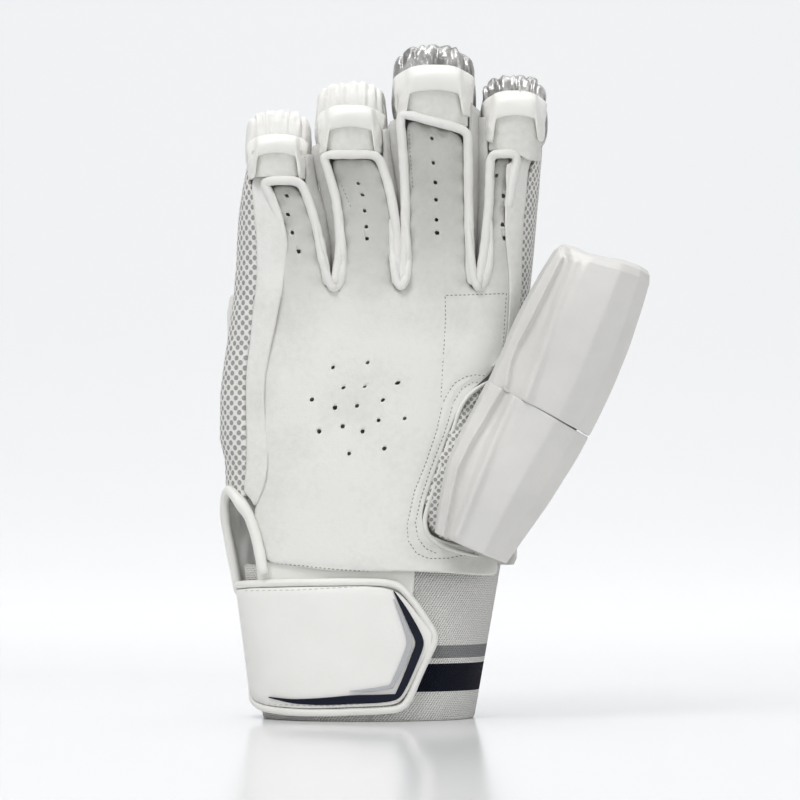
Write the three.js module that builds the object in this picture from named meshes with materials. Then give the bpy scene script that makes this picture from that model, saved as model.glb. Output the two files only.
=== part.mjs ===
import * as THREE from 'three';

// A padded cricket batting glove for the right hand, in millimetres.
// The palm faces -Y, the fingers point up along +Z and the thumb leans out to +X.

// Main sizes. Every table below holds shares of these.
const handBreadth = 100;
const fingerLength = 100;
const handDepth = 50;
const cuffBreadth = 106;
const cuffHeight = 63;

// Cloth and leather
const palmLeather = 1.5;
const backLeather = 2.2;
const sideLeather = 1.5;
const knitWall = 3;
const hoodWall = 1.8;
const gap = 0.3;
const weltRadius = 1.3;
const pipingRadius = 1.2;
const bindingRadius = 2;
const strapWall = 2.2;
const ventHole = 1.7;

// Foot of the gaps between fingers as a share of the finger length
const crotch = 1.78;

// One row for each finger. Heights are shares of the finger length,
// side walls and hood edges are shares of the hand breadth.
const FINGERS = [
  {
    name: 'little', columns: 3, rows: 6,
    hemLeft: 2.195, hemRight: 2.195, hood: 2.31, ridge: 2.4, tip: 2.5,
    leftFoot: -0.375, leftWaist: -0.375, leftTop: -0.46,
    rightFoot: -0.1675, rightWaist: -0.206, rightTop: -0.272,
    hoodLeft: -0.529, hoodRight: -0.246,
  },
  {
    name: 'ring', columns: 5, rows: 7,
    hemLeft: 2.302, hemRight: 2.302, hood: 2.416, ridge: 2.52, tip: 2.618,
    leftFoot: -0.1645, leftWaist: -0.146, leftTop: -0.215,
    rightFoot: 0.1085, rightWaist: 0.109, rightTop: 0.042,
    hoodLeft: -0.241, hoodRight: 0.068,
  },
  {
    name: 'middle', columns: 5, rows: 8,
    hemLeft: 2.475, hemRight: 2.395, hood: 2.564, ridge: 2.684, tip: 2.766,
    leftFoot: 0.1115, leftWaist: 0.124, leftTop: 0.102,
    rightFoot: 0.4185, rightWaist: 0.408, rightTop: 0.407,
    hoodLeft: 0.076, hoodRight: 0.433,
  },
  {
    name: 'index', columns: 3, rows: 7,
    hemLeft: 2.305, hemRight: 2.305, hood: 2.463, ridge: 2.578, tip: 2.64,
    leftFoot: 0.4215, leftWaist: 0.46, leftTop: 0.467,
    rightFoot: 0.57, rightWaist: 0.565, rightTop: 0.61,
    hoodLeft: 0.441, hoodRight: 0.729,
  },
];

// Where the palm would end on both sides if the thumb were not cut in
const HAND_SIDES = [
  { z: 0.58, left: -0.43, right: 0.52 },
  { z: 0.9, left: -0.44, right: 0.53 },
  { z: 1.3, left: -0.45, right: 0.55 },
  { z: 1.55, left: -0.42, right: 0.56 },
  { z: 1.78, left: -0.375, right: 0.57 },
];

// How deep the hand is, as shares of the hand depth, at the middle and at both edges
const HAND_DEPTHS = [
  { z: 0.58, palmMiddle: 0.51, palmEdge: 0.33, backMiddle: 0.6, backEdge: 0.41 },
  { z: 0.89, palmMiddle: 0.41, palmEdge: 0.24, backMiddle: 0.39, backEdge: 0.26 },
  { z: 1.18, palmMiddle: 0.35, palmEdge: 0.21, backMiddle: 0.33, backEdge: 0.24 },
  { z: 1.53, palmMiddle: 0.32, palmEdge: 0.2, backMiddle: 0.3, backEdge: 0.22 },
  { z: 1.78, palmMiddle: 0.3, palmEdge: 0.2, backMiddle: 0.28, backEdge: 0.21 },
];

// Cut edge of the palm leather: the vent notch on the left, the thumb hole on the right
const PALM_LEFT = [
  { z: 0.58, x: -0.416 }, { z: 0.65, x: -0.43 }, { z: 0.72, x: -0.445 },
  { z: 0.79, x: -0.466 }, { z: 0.85, x: -0.49 }, { z: 0.91, x: -0.457 },
  { z: 1.02, x: -0.433 }, { z: 1.11, x: -0.435 }, { z: 1.3, x: -0.45 },
  { z: 1.44, x: -0.44 }, { z: 1.54, x: -0.416 }, { z: 1.65, x: -0.39 },
  { z: 1.78, x: -0.375 },
];
const PALM_RIGHT = [
  { z: 0.58, x: 0.51 }, { z: 0.65, x: 0.515 }, { z: 0.695, x: 0.5 },
  { z: 0.725, x: 0.29 }, { z: 0.77, x: 0.212 }, { z: 0.82, x: 0.2 },
  { z: 0.9, x: 0.22 }, { z: 1.02, x: 0.26 }, { z: 1.12, x: 0.297 },
  { z: 1.22, x: 0.332 }, { z: 1.31, x: 0.373 }, { z: 1.368, x: 0.435 },
  { z: 1.41, x: 0.495 }, { z: 1.5, x: 0.54 }, { z: 1.6, x: 0.555 },
  { z: 1.685, x: 0.565 }, { z: 1.78, x: 0.57 },
];
const PALM_ROWS = [
  0.61, 0.65, 0.695, 0.725, 0.77, 0.84, 0.91, 0.99,
  1.07, 1.16, 1.25, 1.34, 1.42, 1.52, 1.63, 1.748,
];

// Outline of the sides seen from the palm
const LEFT_OUTLINE = [
  { z: 0.6, x: -0.56 }, { z: 0.86, x: -0.585 }, { z: 1.0, x: -0.584 },
  { z: 1.2, x: -0.576 }, { z: 1.44, x: -0.576 }, { z: 1.59, x: -0.568 },
  { z: 1.88, x: -0.554 }, { z: 2.12, x: -0.545 }, { z: 2.31, x: -0.503 },
];
const RIGHT_OUTLINE = [
  { z: 0.6, x: 0.545 }, { z: 0.75, x: 0.56 }, { z: 1.0, x: 0.58 },
  { z: 1.4, x: 0.62 }, { z: 1.84, x: 0.66 }, { z: 2.12, x: 0.685 },
  { z: 2.3, x: 0.7 }, { z: 2.463, x: 0.703 },
];

// Small helpers
const mix = (a, b, t) => a + (b - a) * t;
const smooth = (value, low, high) => {
  const t = Math.min(1, Math.max(0, (value - low) / (high - low)));
  return t * t * (3 - 2 * t);
};
const steps = (from, to, count) => Array.from({ length: count + 1 }, (_, i) => mix(from, to, i / count));
const point = (x, y, z) => new THREE.Vector3(x, y, z);

// Smooth curve through one column of a table, read at a place on another column
function along(rows, place, column, at) {
  const end = rows.length - 1;
  let k = 0;
  while (k < end - 1 && rows[k + 1][place] < at) k += 1;
  const slope = (i) => {
    const a = rows[Math.max(0, i - 1)];
    const b = rows[Math.min(end, i + 1)];
    return (b[column] - a[column]) / (b[place] - a[place]);
  };
  const span = rows[k + 1][place] - rows[k][place];
  const t = Math.min(1, Math.max(0, (at - rows[k][place]) / span));
  const square = t * t;
  const cube = square * t;
  return rows[k][column] * (2 * cube - 3 * square + 1)
    + slope(k) * span * (cube - 2 * square + t)
    + rows[k + 1][column] * (3 * square - 2 * cube)
    + slope(k + 1) * span * (cube - square);
}

// Closed solid from points and faces, wound so that it faces outwards
function closedSolid(points, faces) {
  const triangles = faces.flatMap((f) => f.slice(2).map((_, i) => [f[0], f[i + 1], f[i + 2]]));
  const volume = triangles.reduce((sum, [a, b, c]) => {
    const normal = new THREE.Vector3().crossVectors(points[b], points[c]);
    return sum + points[a].dot(normal);
  }, 0);
  const wound = volume < 0 ? triangles.map(([a, b, c]) => [a, c, b]) : triangles;
  const geometry = new THREE.BufferGeometry();
  geometry.setAttribute('position', new THREE.Float32BufferAttribute(points.flatMap((p) => p.toArray()), 3));
  geometry.setIndex(wound.flat());
  return geometry;
}

// Closed solid between two sheets that share one list of faces
function thicken(outer, inner, faces) {
  const count = outer.length;
  const solid = [];
  const directed = new Set();
  for (const face of faces) {
    solid.push(face);
    solid.push(face.map((i) => i + count).reverse());
    face.forEach((a, i) => directed.add(`${a},${face[(i + 1) % face.length]}`));
  }
  for (const edge of directed) {
    const [a, b] = edge.split(',').map(Number);
    if (!directed.has(`${b},${a}`)) solid.push([b, a, a + count, b + count]);
  }
  return closedSolid([...outer, ...inner], solid);
}

// Faces of a grid with the points of a row lying side by side
function gridFaces(rows, columns, closed = false) {
  const wide = closed ? columns : columns + 1;
  const faces = [];
  for (let r = 0; r < rows; r += 1) {
    for (let c = 0; c < columns; c += 1) {
      const next = (c + 1) % wide;
      faces.push([r * wide + c, r * wide + next, (r + 1) * wide + next, (r + 1) * wide + c]);
    }
  }
  return faces;
}

// A wall made from two functions of a row and a column
function wall(rowPlaces, columnPlaces, outerAt, innerAt, closed = false) {
  const outer = rowPlaces.flatMap((r) => columnPlaces.map((c) => outerAt(r, c)));
  const inner = rowPlaces.flatMap((r) => columnPlaces.map((c) => innerAt(r, c)));
  const columns = closed ? columnPlaces.length : columnPlaces.length - 1;
  return thicken(outer, inner, gridFaces(rowPlaces.length - 1, columns, closed));
}

// A curve that is cut exactly at its own points
class PointCurve extends THREE.CatmullRomCurve3 {
  getPointAt(share, target) {
    return this.getPoint(share, target);
  }

  getTangentAt(share, target) {
    return this.getTangent(share, target);
  }
}

// A round cord along a list of points
function cord(points, radius, sides, cuts = 1) {
  const shape = new THREE.Shape(Array.from({ length: sides }, (_, i) => {
    const angle = (i / sides) * 2 * Math.PI;
    return new THREE.Vector2(radius * Math.cos(angle), radius * Math.sin(angle));
  }));
  const path = new PointCurve(points, false, 'centripetal');
  const lengths = (points.length - 1) * cuts;
  return new THREE.ExtrudeGeometry(shape, { steps: lengths, bevelEnabled: false, extrudePath: path });
}

const glove = new THREE.Group();
glove.name = 'batting_glove';
function add(name, geometry, color, roughness = 0.7, metalness = 0) {
  const material = new THREE.MeshStandardMaterial({ color, roughness, metalness });
  material.name = `${name}_material`;
  const mesh = new THREE.Mesh(geometry, material);
  mesh.name = name;
  glove.add(mesh);
}
const WHITE = 0xdedcd6;
const CREAM = 0xe8e7e0;
const GREY = 0xbfc0c0;
const SILVER = 0xb4b8bd;
const NAVY = 0x1c2440;
const MESH_WHITE = 0xd4d4d0;

// Front and back of the hand and of the fingers
const knuckleLow = crotch - 0.22;
const knuckleHigh = crotch + 0.08;

function acrossHand(x, z) {
  const left = along(HAND_SIDES, 'z', 'left', z / fingerLength) * handBreadth;
  const right = along(HAND_SIDES, 'z', 'right', z / fingerLength) * handBreadth;
  const across = (2 * x - left - right) / (right - left);
  return Math.min(1.15, Math.abs(across));
}

function handSurface(x, z, middle, edge) {
  const share = z / fingerLength;
  const u = acrossHand(x, z) ** 3;
  return handDepth * mix(along(HAND_DEPTHS, 'z', middle, share), along(HAND_DEPTHS, 'z', edge, share), u);
}

const reach = (z) => Math.max(0, z / fingerLength - crotch);
const backPlane = (z) => handDepth * (0.18 - 0.14 * reach(z) ** 2);

function frontOf(finger, x, z) {
  const { left, right } = fingerWalls(finger, z);
  const u = Math.min(1.1, Math.abs((2 * x - left - right) / (right - left)));
  return handDepth * (-0.3 - 0.14 * reach(z) ** 2 + 0.036 * u ** 3);
}

function fingerAt(x) {
  return FINGERS.find((f) => x < f.rightFoot * handBreadth) ?? FINGERS[3];
}

function palmFront(x, z, finger = fingerAt(x)) {
  const t = smooth(z / fingerLength, knuckleLow, knuckleHigh);
  return mix(-handSurface(x, z, 'palmMiddle', 'palmEdge'), frontOf(finger, x, z), t);
}

function handBack(x, z) {
  const t = smooth(z / fingerLength, knuckleLow, knuckleHigh);
  return mix(handSurface(x, z, 'backMiddle', 'backEdge'), backPlane(z), t);
}

// Side walls of a finger tube, from the crotch to the hem under the tip
function fingerWalls(finger, z) {
  const top = 0.5 * (finger.hemLeft + finger.hemRight);
  const t = Math.min(1, Math.max(0, (z / fingerLength - crotch) / (top - crotch)));
  const through = (foot, waist, high) => {
    const bend = 2 * (foot + high - 2 * waist);
    return handBreadth * (foot + (high - foot - bend) * t + bend * t * t);
  };
  return {
    left: through(finger.leftFoot, finger.leftWaist, finger.leftTop),
    right: through(finger.rightFoot, finger.rightWaist, finger.rightTop),
  };
}

function hemOf(finger, x) {
  const { left, right } = fingerWalls(finger, fingerLength * finger.tip);
  const t = (x - left) / (right - left);
  return fingerLength * mix(finger.hemLeft, finger.hemRight, Math.min(1, Math.max(0, t)));
}

// Edges of the palm leather and, above the crotches, the outer finger walls
function leftEdge(z) {
  if (z < crotch * fingerLength) return handBreadth * along(PALM_LEFT, 'z', 'x', z / fingerLength);
  return fingerWalls(FINGERS[0], z).left;
}
function rightEdge(z) {
  if (z < crotch * fingerLength) return handBreadth * along(PALM_RIGHT, 'z', 'x', z / fingerLength);
  return fingerWalls(FINGERS[3], z).right;
}
const leftOutline = (z) => handBreadth * along(LEFT_OUTLINE, 'z', 'x', z / fingerLength);
const rightOutline = (z) => handBreadth * along(RIGHT_OUTLINE, 'z', 'x', z / fingerLength);
const crotchX = (k) => handBreadth * 0.5 * (FINGERS[k].rightFoot + FINGERS[k + 1].leftFoot);

// Room that a welt needs beside a finger front
const seam = 2 * weltRadius + gap;
const seamLeft = (k, z) => (k > 0 ? seam : seam * smooth(z / fingerLength, 1.88, 1.98));
const seamRight = (k, z) => (k < 3 ? seam : seam * smooth(z / fingerLength, 1.93, 2.06));

// A leather cut like a comb: a wide base and four fingers that share its last row.
// baseAt gives x on a base row, fingerEdges the two sides of a finger, heightAt the rows of a finger.
function comb(baseRows, baseAt, fingerEdges, rowsOf, heightAt, shiftAt) {
  const points = [];
  const faces = [];
  const shares = [];
  const last = baseRows[baseRows.length - 1] * fingerLength;
  const corners = [baseAt(last).left, crotchX(0), crotchX(1), crotchX(2), baseAt(last).right];
  FINGERS.forEach((finger, k) => {
    steps(corners[k], corners[k + 1], finger.columns).slice(k === 0 ? 0 : 1).forEach((x) => {
      shares.push((x - corners[0]) / (corners[4] - corners[0]));
    });
  });
  const wide = shares.length;
  baseRows.forEach((row) => {
    const z = row * fingerLength;
    const { left, right } = baseAt(z);
    shares.forEach((share) => {
      const x = mix(left, right, share);
      points.push([x, z + shiftAt(x, row)]);
    });
  });
  for (let r = 0; r < baseRows.length - 1; r += 1) {
    for (let c = 0; c < wide - 1; c += 1) {
      faces.push([r * wide + c, r * wide + c + 1, (r + 1) * wide + c + 1, (r + 1) * wide + c]);
    }
  }
  let start = (baseRows.length - 1) * wide;
  FINGERS.forEach((finger, k) => {
    let below = Array.from({ length: finger.columns + 1 }, (_, c) => start + c);
    for (let r = 1; r <= rowsOf(finger); r += 1) {
      const here = below.map((_, c) => points.length + c);
      below.forEach((_, c) => {
        const share = c / finger.columns;
        const z = heightAt(finger, k, r, share);
        const { left, right } = fingerEdges(finger, k, z);
        points.push([mix(left, right, share), z]);
      });
      for (let c = 0; c < finger.columns; c += 1) {
        faces.push([below[c], below[c + 1], here[c + 1], here[c]]);
      }
      below = here;
    }
    start += finger.columns;
  });
  return { points, faces };
}

// Replace the face under a spot by four faces round a square hole
function pierce(points, faces, x, z, side) {
  const at = (face, u, v) => [0, 1].map((k) => mix(
    mix(points[face[0]][k], points[face[1]][k], u),
    mix(points[face[3]][k], points[face[2]][k], u),
    v,
  ));
  const local = (face) => {
    let [u, v] = [0.5, 0.5];
    for (let turn = 0; turn < 8; turn += 1) {
      const here = at(face, u, v);
      const byU = at(face, u + 0.01, v).map((value, k) => (value - here[k]) * 100);
      const byV = at(face, u, v + 0.01).map((value, k) => (value - here[k]) * 100);
      const area = byU[0] * byV[1] - byU[1] * byV[0];
      u += ((x - here[0]) * byV[1] - (z - here[1]) * byV[0]) / area;
      v += ((z - here[1]) * byU[0] - (x - here[0]) * byU[1]) / area;
    }
    return [u, v];
  };
  const inside = (face) => face.length === 4 && local(face).every((value) => value >= 0 && value <= 1);
  const found = faces.findIndex(inside);
  const face = faces[found];
  const length = (a, b) => Math.hypot(points[a][0] - points[b][0], points[a][1] - points[b][1]);
  const halfU = side / 2 / length(face[0], face[1]);
  const halfV = side / 2 / length(face[0], face[3]);
  const [u, v] = local(face).map((value, k) => {
    const half = [halfU, halfV][k] + 0.08;
    return Math.min(1 - half, Math.max(half, value));
  });
  const first = points.length;
  const signs = [[-1, -1], [1, -1], [1, 1], [-1, 1]];
  signs.forEach(([a, b]) => points.push(at(face, u + a * halfU, v + b * halfV)));
  const ring = [0, 1, 2, 3].map((k) => {
    const next = (k + 1) % 4;
    return [face[k], face[next], first + next, first + k];
  });
  faces.splice(found, 1, ...ring);
}

// Vent holes: a rosette of two rings in the palm and a line up each finger
const ROSETTE = [
  { x: -0.06, z: 1.28, count: 1, radius: 0, turn: 0 },
  { x: -0.055, z: 1.267, count: 7, radius: 0.095, turn: -29 },
  { x: -0.055, z: 1.267, count: 8, radius: 0.193, turn: -11.5 },
];
const FINGER_VENTS = [
  { x: -0.347, z: 2.137 }, { x: -0.335, z: 2.06 }, { x: -0.318, z: 1.985 }, { x: -0.3, z: 1.91 },
  { x: -0.058, z: 2.2 }, { x: -0.038, z: 2.14 }, { x: -0.029, z: 2.075 }, { x: -0.022, z: 2.01 },
  { x: -0.018, z: 1.95 }, { x: 0.242, z: 2.37 }, { x: 0.25, z: 2.27 }, { x: 0.259, z: 2.19 },
  { x: 0.262, z: 2.12 }, { x: 0.264, z: 2.05 }, { x: 0.266, z: 1.985 }, { x: 0.515, z: 2.205 },
  { x: 0.528, z: 2.12 }, { x: 0.536, z: 2.03 }, { x: 0.541, z: 1.95 },
];

// The cut hem of the palm climbs towards the little finger side
function hemShift(x, row) {
  const share = x / handBreadth;
  const rise = 0.03 * smooth(-share, 0.15, 0.42) - 0.022 * smooth(share, 0.15, 0.5);
  return fingerLength * rise * Math.max(0, 1 - (row - PALM_ROWS[0]) / 0.12);
}

function palmHeight(finger, k, row, share) {
  const foot = crotch * fingerLength;
  const { left, right } = fingerWalls(finger, fingerLength * finger.tip);
  const top = hemOf(finger, mix(left + seam, right - seam, share)) - weltRadius - 0.3;
  const corner = row === finger.rows && (share === 0 || share === 1) ? 0.6 : 0;
  return mix(foot, top, (row - 1) / (finger.rows - 1)) - corner;
}

function palmLeatherPiece() {
  const edges = (finger, k, z) => {
    const { left, right } = fingerWalls(finger, z);
    const pull = (x) => 0.9 * smooth(z, hemOf(finger, x) - 5, hemOf(finger, x) - 3);
    return {
      left: left + seamLeft(k, z) + pull(left + seam),
      right: right - seamRight(k, z) - pull(right - seam),
    };
  };
  const base = (z) => ({ left: leftEdge(z), right: rightEdge(z) });
  const { points, faces } = comb(PALM_ROWS, base, edges, (finger) => finger.rows, palmHeight, hemShift);
  const fingerOf = (x, z) => (z > crotch * fingerLength - 1 ? fingerAt(x) : undefined);
  for (const ring of ROSETTE) {
    for (let k = 0; k < ring.count; k += 1) {
      const angle = THREE.MathUtils.degToRad(ring.turn) - (k / ring.count) * 2 * Math.PI;
      const x = handBreadth * ring.x + fingerLength * ring.radius * Math.cos(angle);
      pierce(points, faces, x, fingerLength * (ring.z + ring.radius * Math.sin(angle)), ventHole);
    }
  }
  FINGER_VENTS.forEach((hole) => {
    pierce(points, faces, hole.x * handBreadth, hole.z * fingerLength, ventHole);
  });
  const outer = points.map(([x, z]) => point(x, palmFront(x, z, fingerOf(x, z)), z));
  const inner = outer.map((p) => point(p.x, p.y + palmLeather, p.z));
  return thicken(outer, inner, faces);
}

const BACK_ROWS = [0.62, 0.74, 0.88, 0.98, 1.15, 1.35, 1.56, crotch];
const backRows = (finger) => Math.ceil(finger.rows / 2) + 1;
const tipRidge = (finger) => finger.ridge - 0.55 * (finger.ridge - finger.hood);

function backLeatherPiece() {
  const side = (z) => smooth(z / fingerLength, 0.84, 0.92);
  const base = (z) => ({ left: mix(-0.44 * handBreadth, leftOutline(z), side(z)), right: rightOutline(z) });
  const edges = (finger, k, z) => {
    const { left, right } = fingerWalls(finger, z);
    return { left: k === 0 ? leftOutline(z) : left, right: k === 3 ? rightOutline(z) : right };
  };
  const height = (finger, k, row) => {
    const top = tipRidge(finger) * fingerLength - hoodWall - 0.5;
    return mix(crotch * fingerLength, top, row / backRows(finger));
  };
  const { points, faces } = comb(BACK_ROWS, base, edges, backRows, height, () => 0);
  const outer = points.map(([x, z]) => point(x, handBack(x, z), z));
  const inner = outer.map((p) => point(p.x, p.y - backLeather, p.z));
  return thicken(outer, inner, faces);
}

// How far the soft side walls step back behind the leather of the tips
const tipDepth = 0.34 * handDepth;
const intoTip = (finger, z, x) => smooth(z, hemOf(finger, x) - 4, hemOf(finger, x) + 1.2);

// Leather wall between two fingers, down one side, round the crotch and up the other
function fourchettePiece(k) {
  const [low, high] = [FINGERS[k], FINGERS[k + 1]];
  const heights = (finger, side) => {
    const top = finger.hood * fingerLength - gap;
    const hem = hemOf(finger, fingerWalls(finger, top)[side]);
    const foot = crotch * fingerLength;
    return [...[0.05, 0.2, 0.4, 0.6, 0.8].map((s) => mix(foot, hem, s)), hem - 4, hem + 1.2, top];
  };
  const spotAt = (finger, side, z) => (
    { finger, z, x: fingerWalls(finger, z)[side], way: [side === 'left' ? 1 : -1, 0] });
  const down = heights(low, 'right').reverse().map((z) => spotAt(low, 'right', z));
  const up = heights(high, 'left').map((z) => spotAt(high, 'left', z));
  const bottom = { finger: low, z: crotch * fingerLength, x: crotchX(k), way: [0, -1] };
  const place = (spot, share, off) => {
    const front = palmFront(spot.x, spot.z, spot.finger) + weltRadius + 2 * gap;
    const far = backPlane(spot.z) - tipDepth;
    const near = mix(front, far, intoTip(spot.finger, spot.z, spot.x));
    const y = mix(near, handBack(spot.x, spot.z) - backLeather - 2 * gap, share);
    return point(spot.x + off * spot.way[0], y, spot.z + off * spot.way[1]);
  };
  return wall(
    [...down, bottom, ...up],
    [0, 0.33, 0.67, 1],
    (spot, share) => place(spot, share, 0),
    (spot, share) => place(spot, share, sideLeather),
  );
}

// Rolled edge round a finger front
function weltPiece(k) {
  const finger = FINGERS[k];
  const bend = 3;
  const onFront = (x, z) => point(x, palmFront(x, z, finger) + 0.2, z);
  const foot = crotch * fingerLength;
  const leftFrom = k === 0 ? 2.02 * fingerLength : foot;
  const rightFrom = k === 3 ? 2.08 * fingerLength : foot;
  const walls = fingerWalls(finger, finger.tip * fingerLength);
  const left = walls.left + weltRadius;
  const right = walls.right - weltRadius;
  const top = (x) => hemOf(finger, x) + gap;
  const leg = (from, to, side) => {
    const count = Math.max(2, Math.round((to - from) / 9));
    return steps(from, to, count).map((z) => {
      const sides = fingerWalls(finger, z);
      return onFront(side < 0 ? sides.left + weltRadius : sides.right - weltRadius, z);
    });
  };
  const corner = (x, way) => onFront(x + way * 0.29 * bend, top(x) - 0.29 * bend);
  const points = [
    ...leg(leftFrom, top(left) - bend, -1),
    corner(left, 1),
    ...steps(left + bend, right - bend, 3).map((x) => onFront(x, top(x))),
    corner(right, -1),
    ...leg(rightFrom, top(right) - bend, 1).reverse(),
  ];
  return cord(points, weltRadius, 5);
}

// Side of the glove: a quarter round from the palm leather to the back leather
function sidePoint(side, z, degrees, inset) {
  const finger = side < 0 ? FINGERS[0] : FINGERS[3];
  const edge = side < 0 ? leftEdge(z) : rightEdge(z);
  const outline = side < 0 ? leftOutline(z) : rightOutline(z);
  const tip = intoTip(finger, z, edge);
  const patch = patchEdge(finger, side) + side * 0.1;
  const start = mix(edge + side * 3 * gap, patch, tip);
  const front = mix(palmFront(edge, z, finger), backPlane(z) - tipDepth, tip);
  const back = handBack(outline, z) - backLeather - 2 * gap;
  const angle = THREE.MathUtils.degToRad(degrees);
  const out = Math.abs(outline - start) - inset;
  return point(
    start + side * out * Math.sin(angle),
    front + inset + (back - front - inset) * (1 - Math.cos(angle)),
    z,
  );
}

const SIDE_ROWS = [0, 0.06, 0.16, 0.28, 0.41, 0.54, 0.67, 0.78, 0.89, 1];
const stripAngle = 32;
function sidePiece(side, from, to, columns) {
  const finger = side < 0 ? FINGERS[0] : FINGERS[3];
  const top = finger.hood * fingerLength - gap;
  const hem = (side < 0 ? finger.hemLeft : finger.hemRight) * fingerLength;
  const low = (degrees) => {
    const turn = Math.sin(THREE.MathUtils.degToRad(degrees));
    return fingerLength * (side < 0 ? 0.87 + 0.11 * turn : 1.44);
  };
  const rows = [...SIDE_ROWS.map((share) => (degrees) => mix(low(degrees), hem - 4, share)),
    () => hem + 1.2, () => top];
  return wall(
    rows,
    steps(from, to, columns),
    (height, degrees) => sidePoint(side, height(degrees), degrees, 0),
    (height, degrees) => sidePoint(side, height(degrees), degrees, sideLeather),
  );
}

// Section of a fingertip: depth in front of the back plane at a share across
function tipPoint(finger, across, z, inset, depthShare = 1) {
  const left = finger.hoodLeft * handBreadth + inset;
  const right = finger.hoodRight * handBreadth - inset;
  const depth = 0.526 * handDepth - inset;
  const curve = Math.max(0, 1 - Math.abs(across) ** 4) ** 0.25;
  return point(mix(left, right, 0.5 + 0.5 * across), backPlane(z) - depthShare * depth * curve, z);
}

const patchInset = hoodWall + 0.5;
const patchReach = 0.88;
function patchEdge(finger, side) {
  return tipPoint(finger, side * patchReach, finger.hood * fingerLength, patchInset).x;
}

// Leather band under a fingertip, tucked under the cover
function tipPatchPiece(finger) {
  const top = finger.hood * fingerLength + 1.6;
  const height = (across, share) => {
    const x = tipPoint(finger, across, top, patchInset).x;
    return mix(hemOf(finger, x) + weltRadius + 2 * gap, top, share);
  };
  const leather = 1.6;
  return wall(
    steps(0, 1, 3),
    [-patchReach, -0.6, -0.2, 0.2, 0.6, patchReach],
    (share, across) => tipPoint(finger, across, height(across, share), patchInset),
    (share, across) => tipPoint(finger, across, height(across, share), patchInset)
      .add(point(0, leather, 0)),
  );
}

// Cover wrapped over a fingertip, open below and behind
const HOOD_PROFILE = [
  { rise: 0, reach: 1 }, { rise: 0.35, reach: 1.03 }, { rise: 0.62, reach: 0.99 },
  { rise: 0.83, reach: 0.84 }, { rise: 0.95, reach: 0.52 }, { rise: 1, reach: 0 },
];
function tipHoodPiece(finger) {
  const place = (row, across, inset) => {
    const low = finger.hood * fingerLength;
    const ridge = mix(finger.ridge, tipRidge(finger), Math.abs(across) ** 3.2) * fingerLength - inset;
    return tipPoint(finger, across, mix(low, ridge, row.rise), inset, row.reach);
  };
  return wall(
    HOOD_PROFILE,
    [-1, -0.9, -0.65, -0.35, 0, 0.35, 0.65, 0.9, 1],
    (row, across) => place(row, across, 0),
    (row, across) => place(row, across, hoodWall),
  );
}

add('palm_leather', palmLeatherPiece(), WHITE);
add('back_leather', backLeatherPiece(), WHITE);
add('fourchette_little_ring', fourchettePiece(0), GREY);
add('fourchette_ring_middle', fourchettePiece(1), GREY);
add('fourchette_middle_index', fourchettePiece(2), GREY);
add('ulnar_strip', sidePiece(-1, 0, stripAngle, 2), WHITE);
add('ulnar_mesh', sidePiece(-1, stripAngle + 4.5, 90, 3), MESH_WHITE);
add('radial_strip', sidePiece(1, 0, stripAngle, 2), WHITE);
add('radial_mesh', sidePiece(1, stripAngle + 4.5, 90, 3), MESH_WHITE);
FINGERS.forEach((finger, k) => {
  add(`welt_${finger.name}`, weltPiece(k), CREAM);
  add(`tip_patch_${finger.name}`, tipPatchPiece(finger), GREY);
  add(`tip_hood_${finger.name}`, tipHoodPiece(finger), CREAM);
});

// Padding on the back. A pad has a flat side on the leather and a rounded crown.
const padHeight = 0.26 * handDepth;
const padStops = (count) => steps(-90, 90, count).map((degrees) => Math.sin(THREE.MathUtils.degToRad(degrees)));
const swell = (share, edge, power) => edge + (1 - edge) * Math.sqrt(Math.max(0, 1 - Math.abs(share) ** power));
function padPiece(edgesAt, low, high, height, stand, columns = 5, rows = 4) {
  const place = (along, across, out) => {
    const z = mix(low, high, 0.5 + 0.5 * along);
    const { left, right } = edgesAt(z);
    const x = mix(left, right, 0.5 + 0.5 * across);
    return point(x, handBack(x, z) + stand + out, z);
  };
  return wall(
    padStops(rows),
    padStops(columns),
    (along, across) => place(along, across, 0),
    (along, across) => place(along, across, height * swell(along, 0.36, 4) * swell(across, 0.4, 5)),
  );
}

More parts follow.
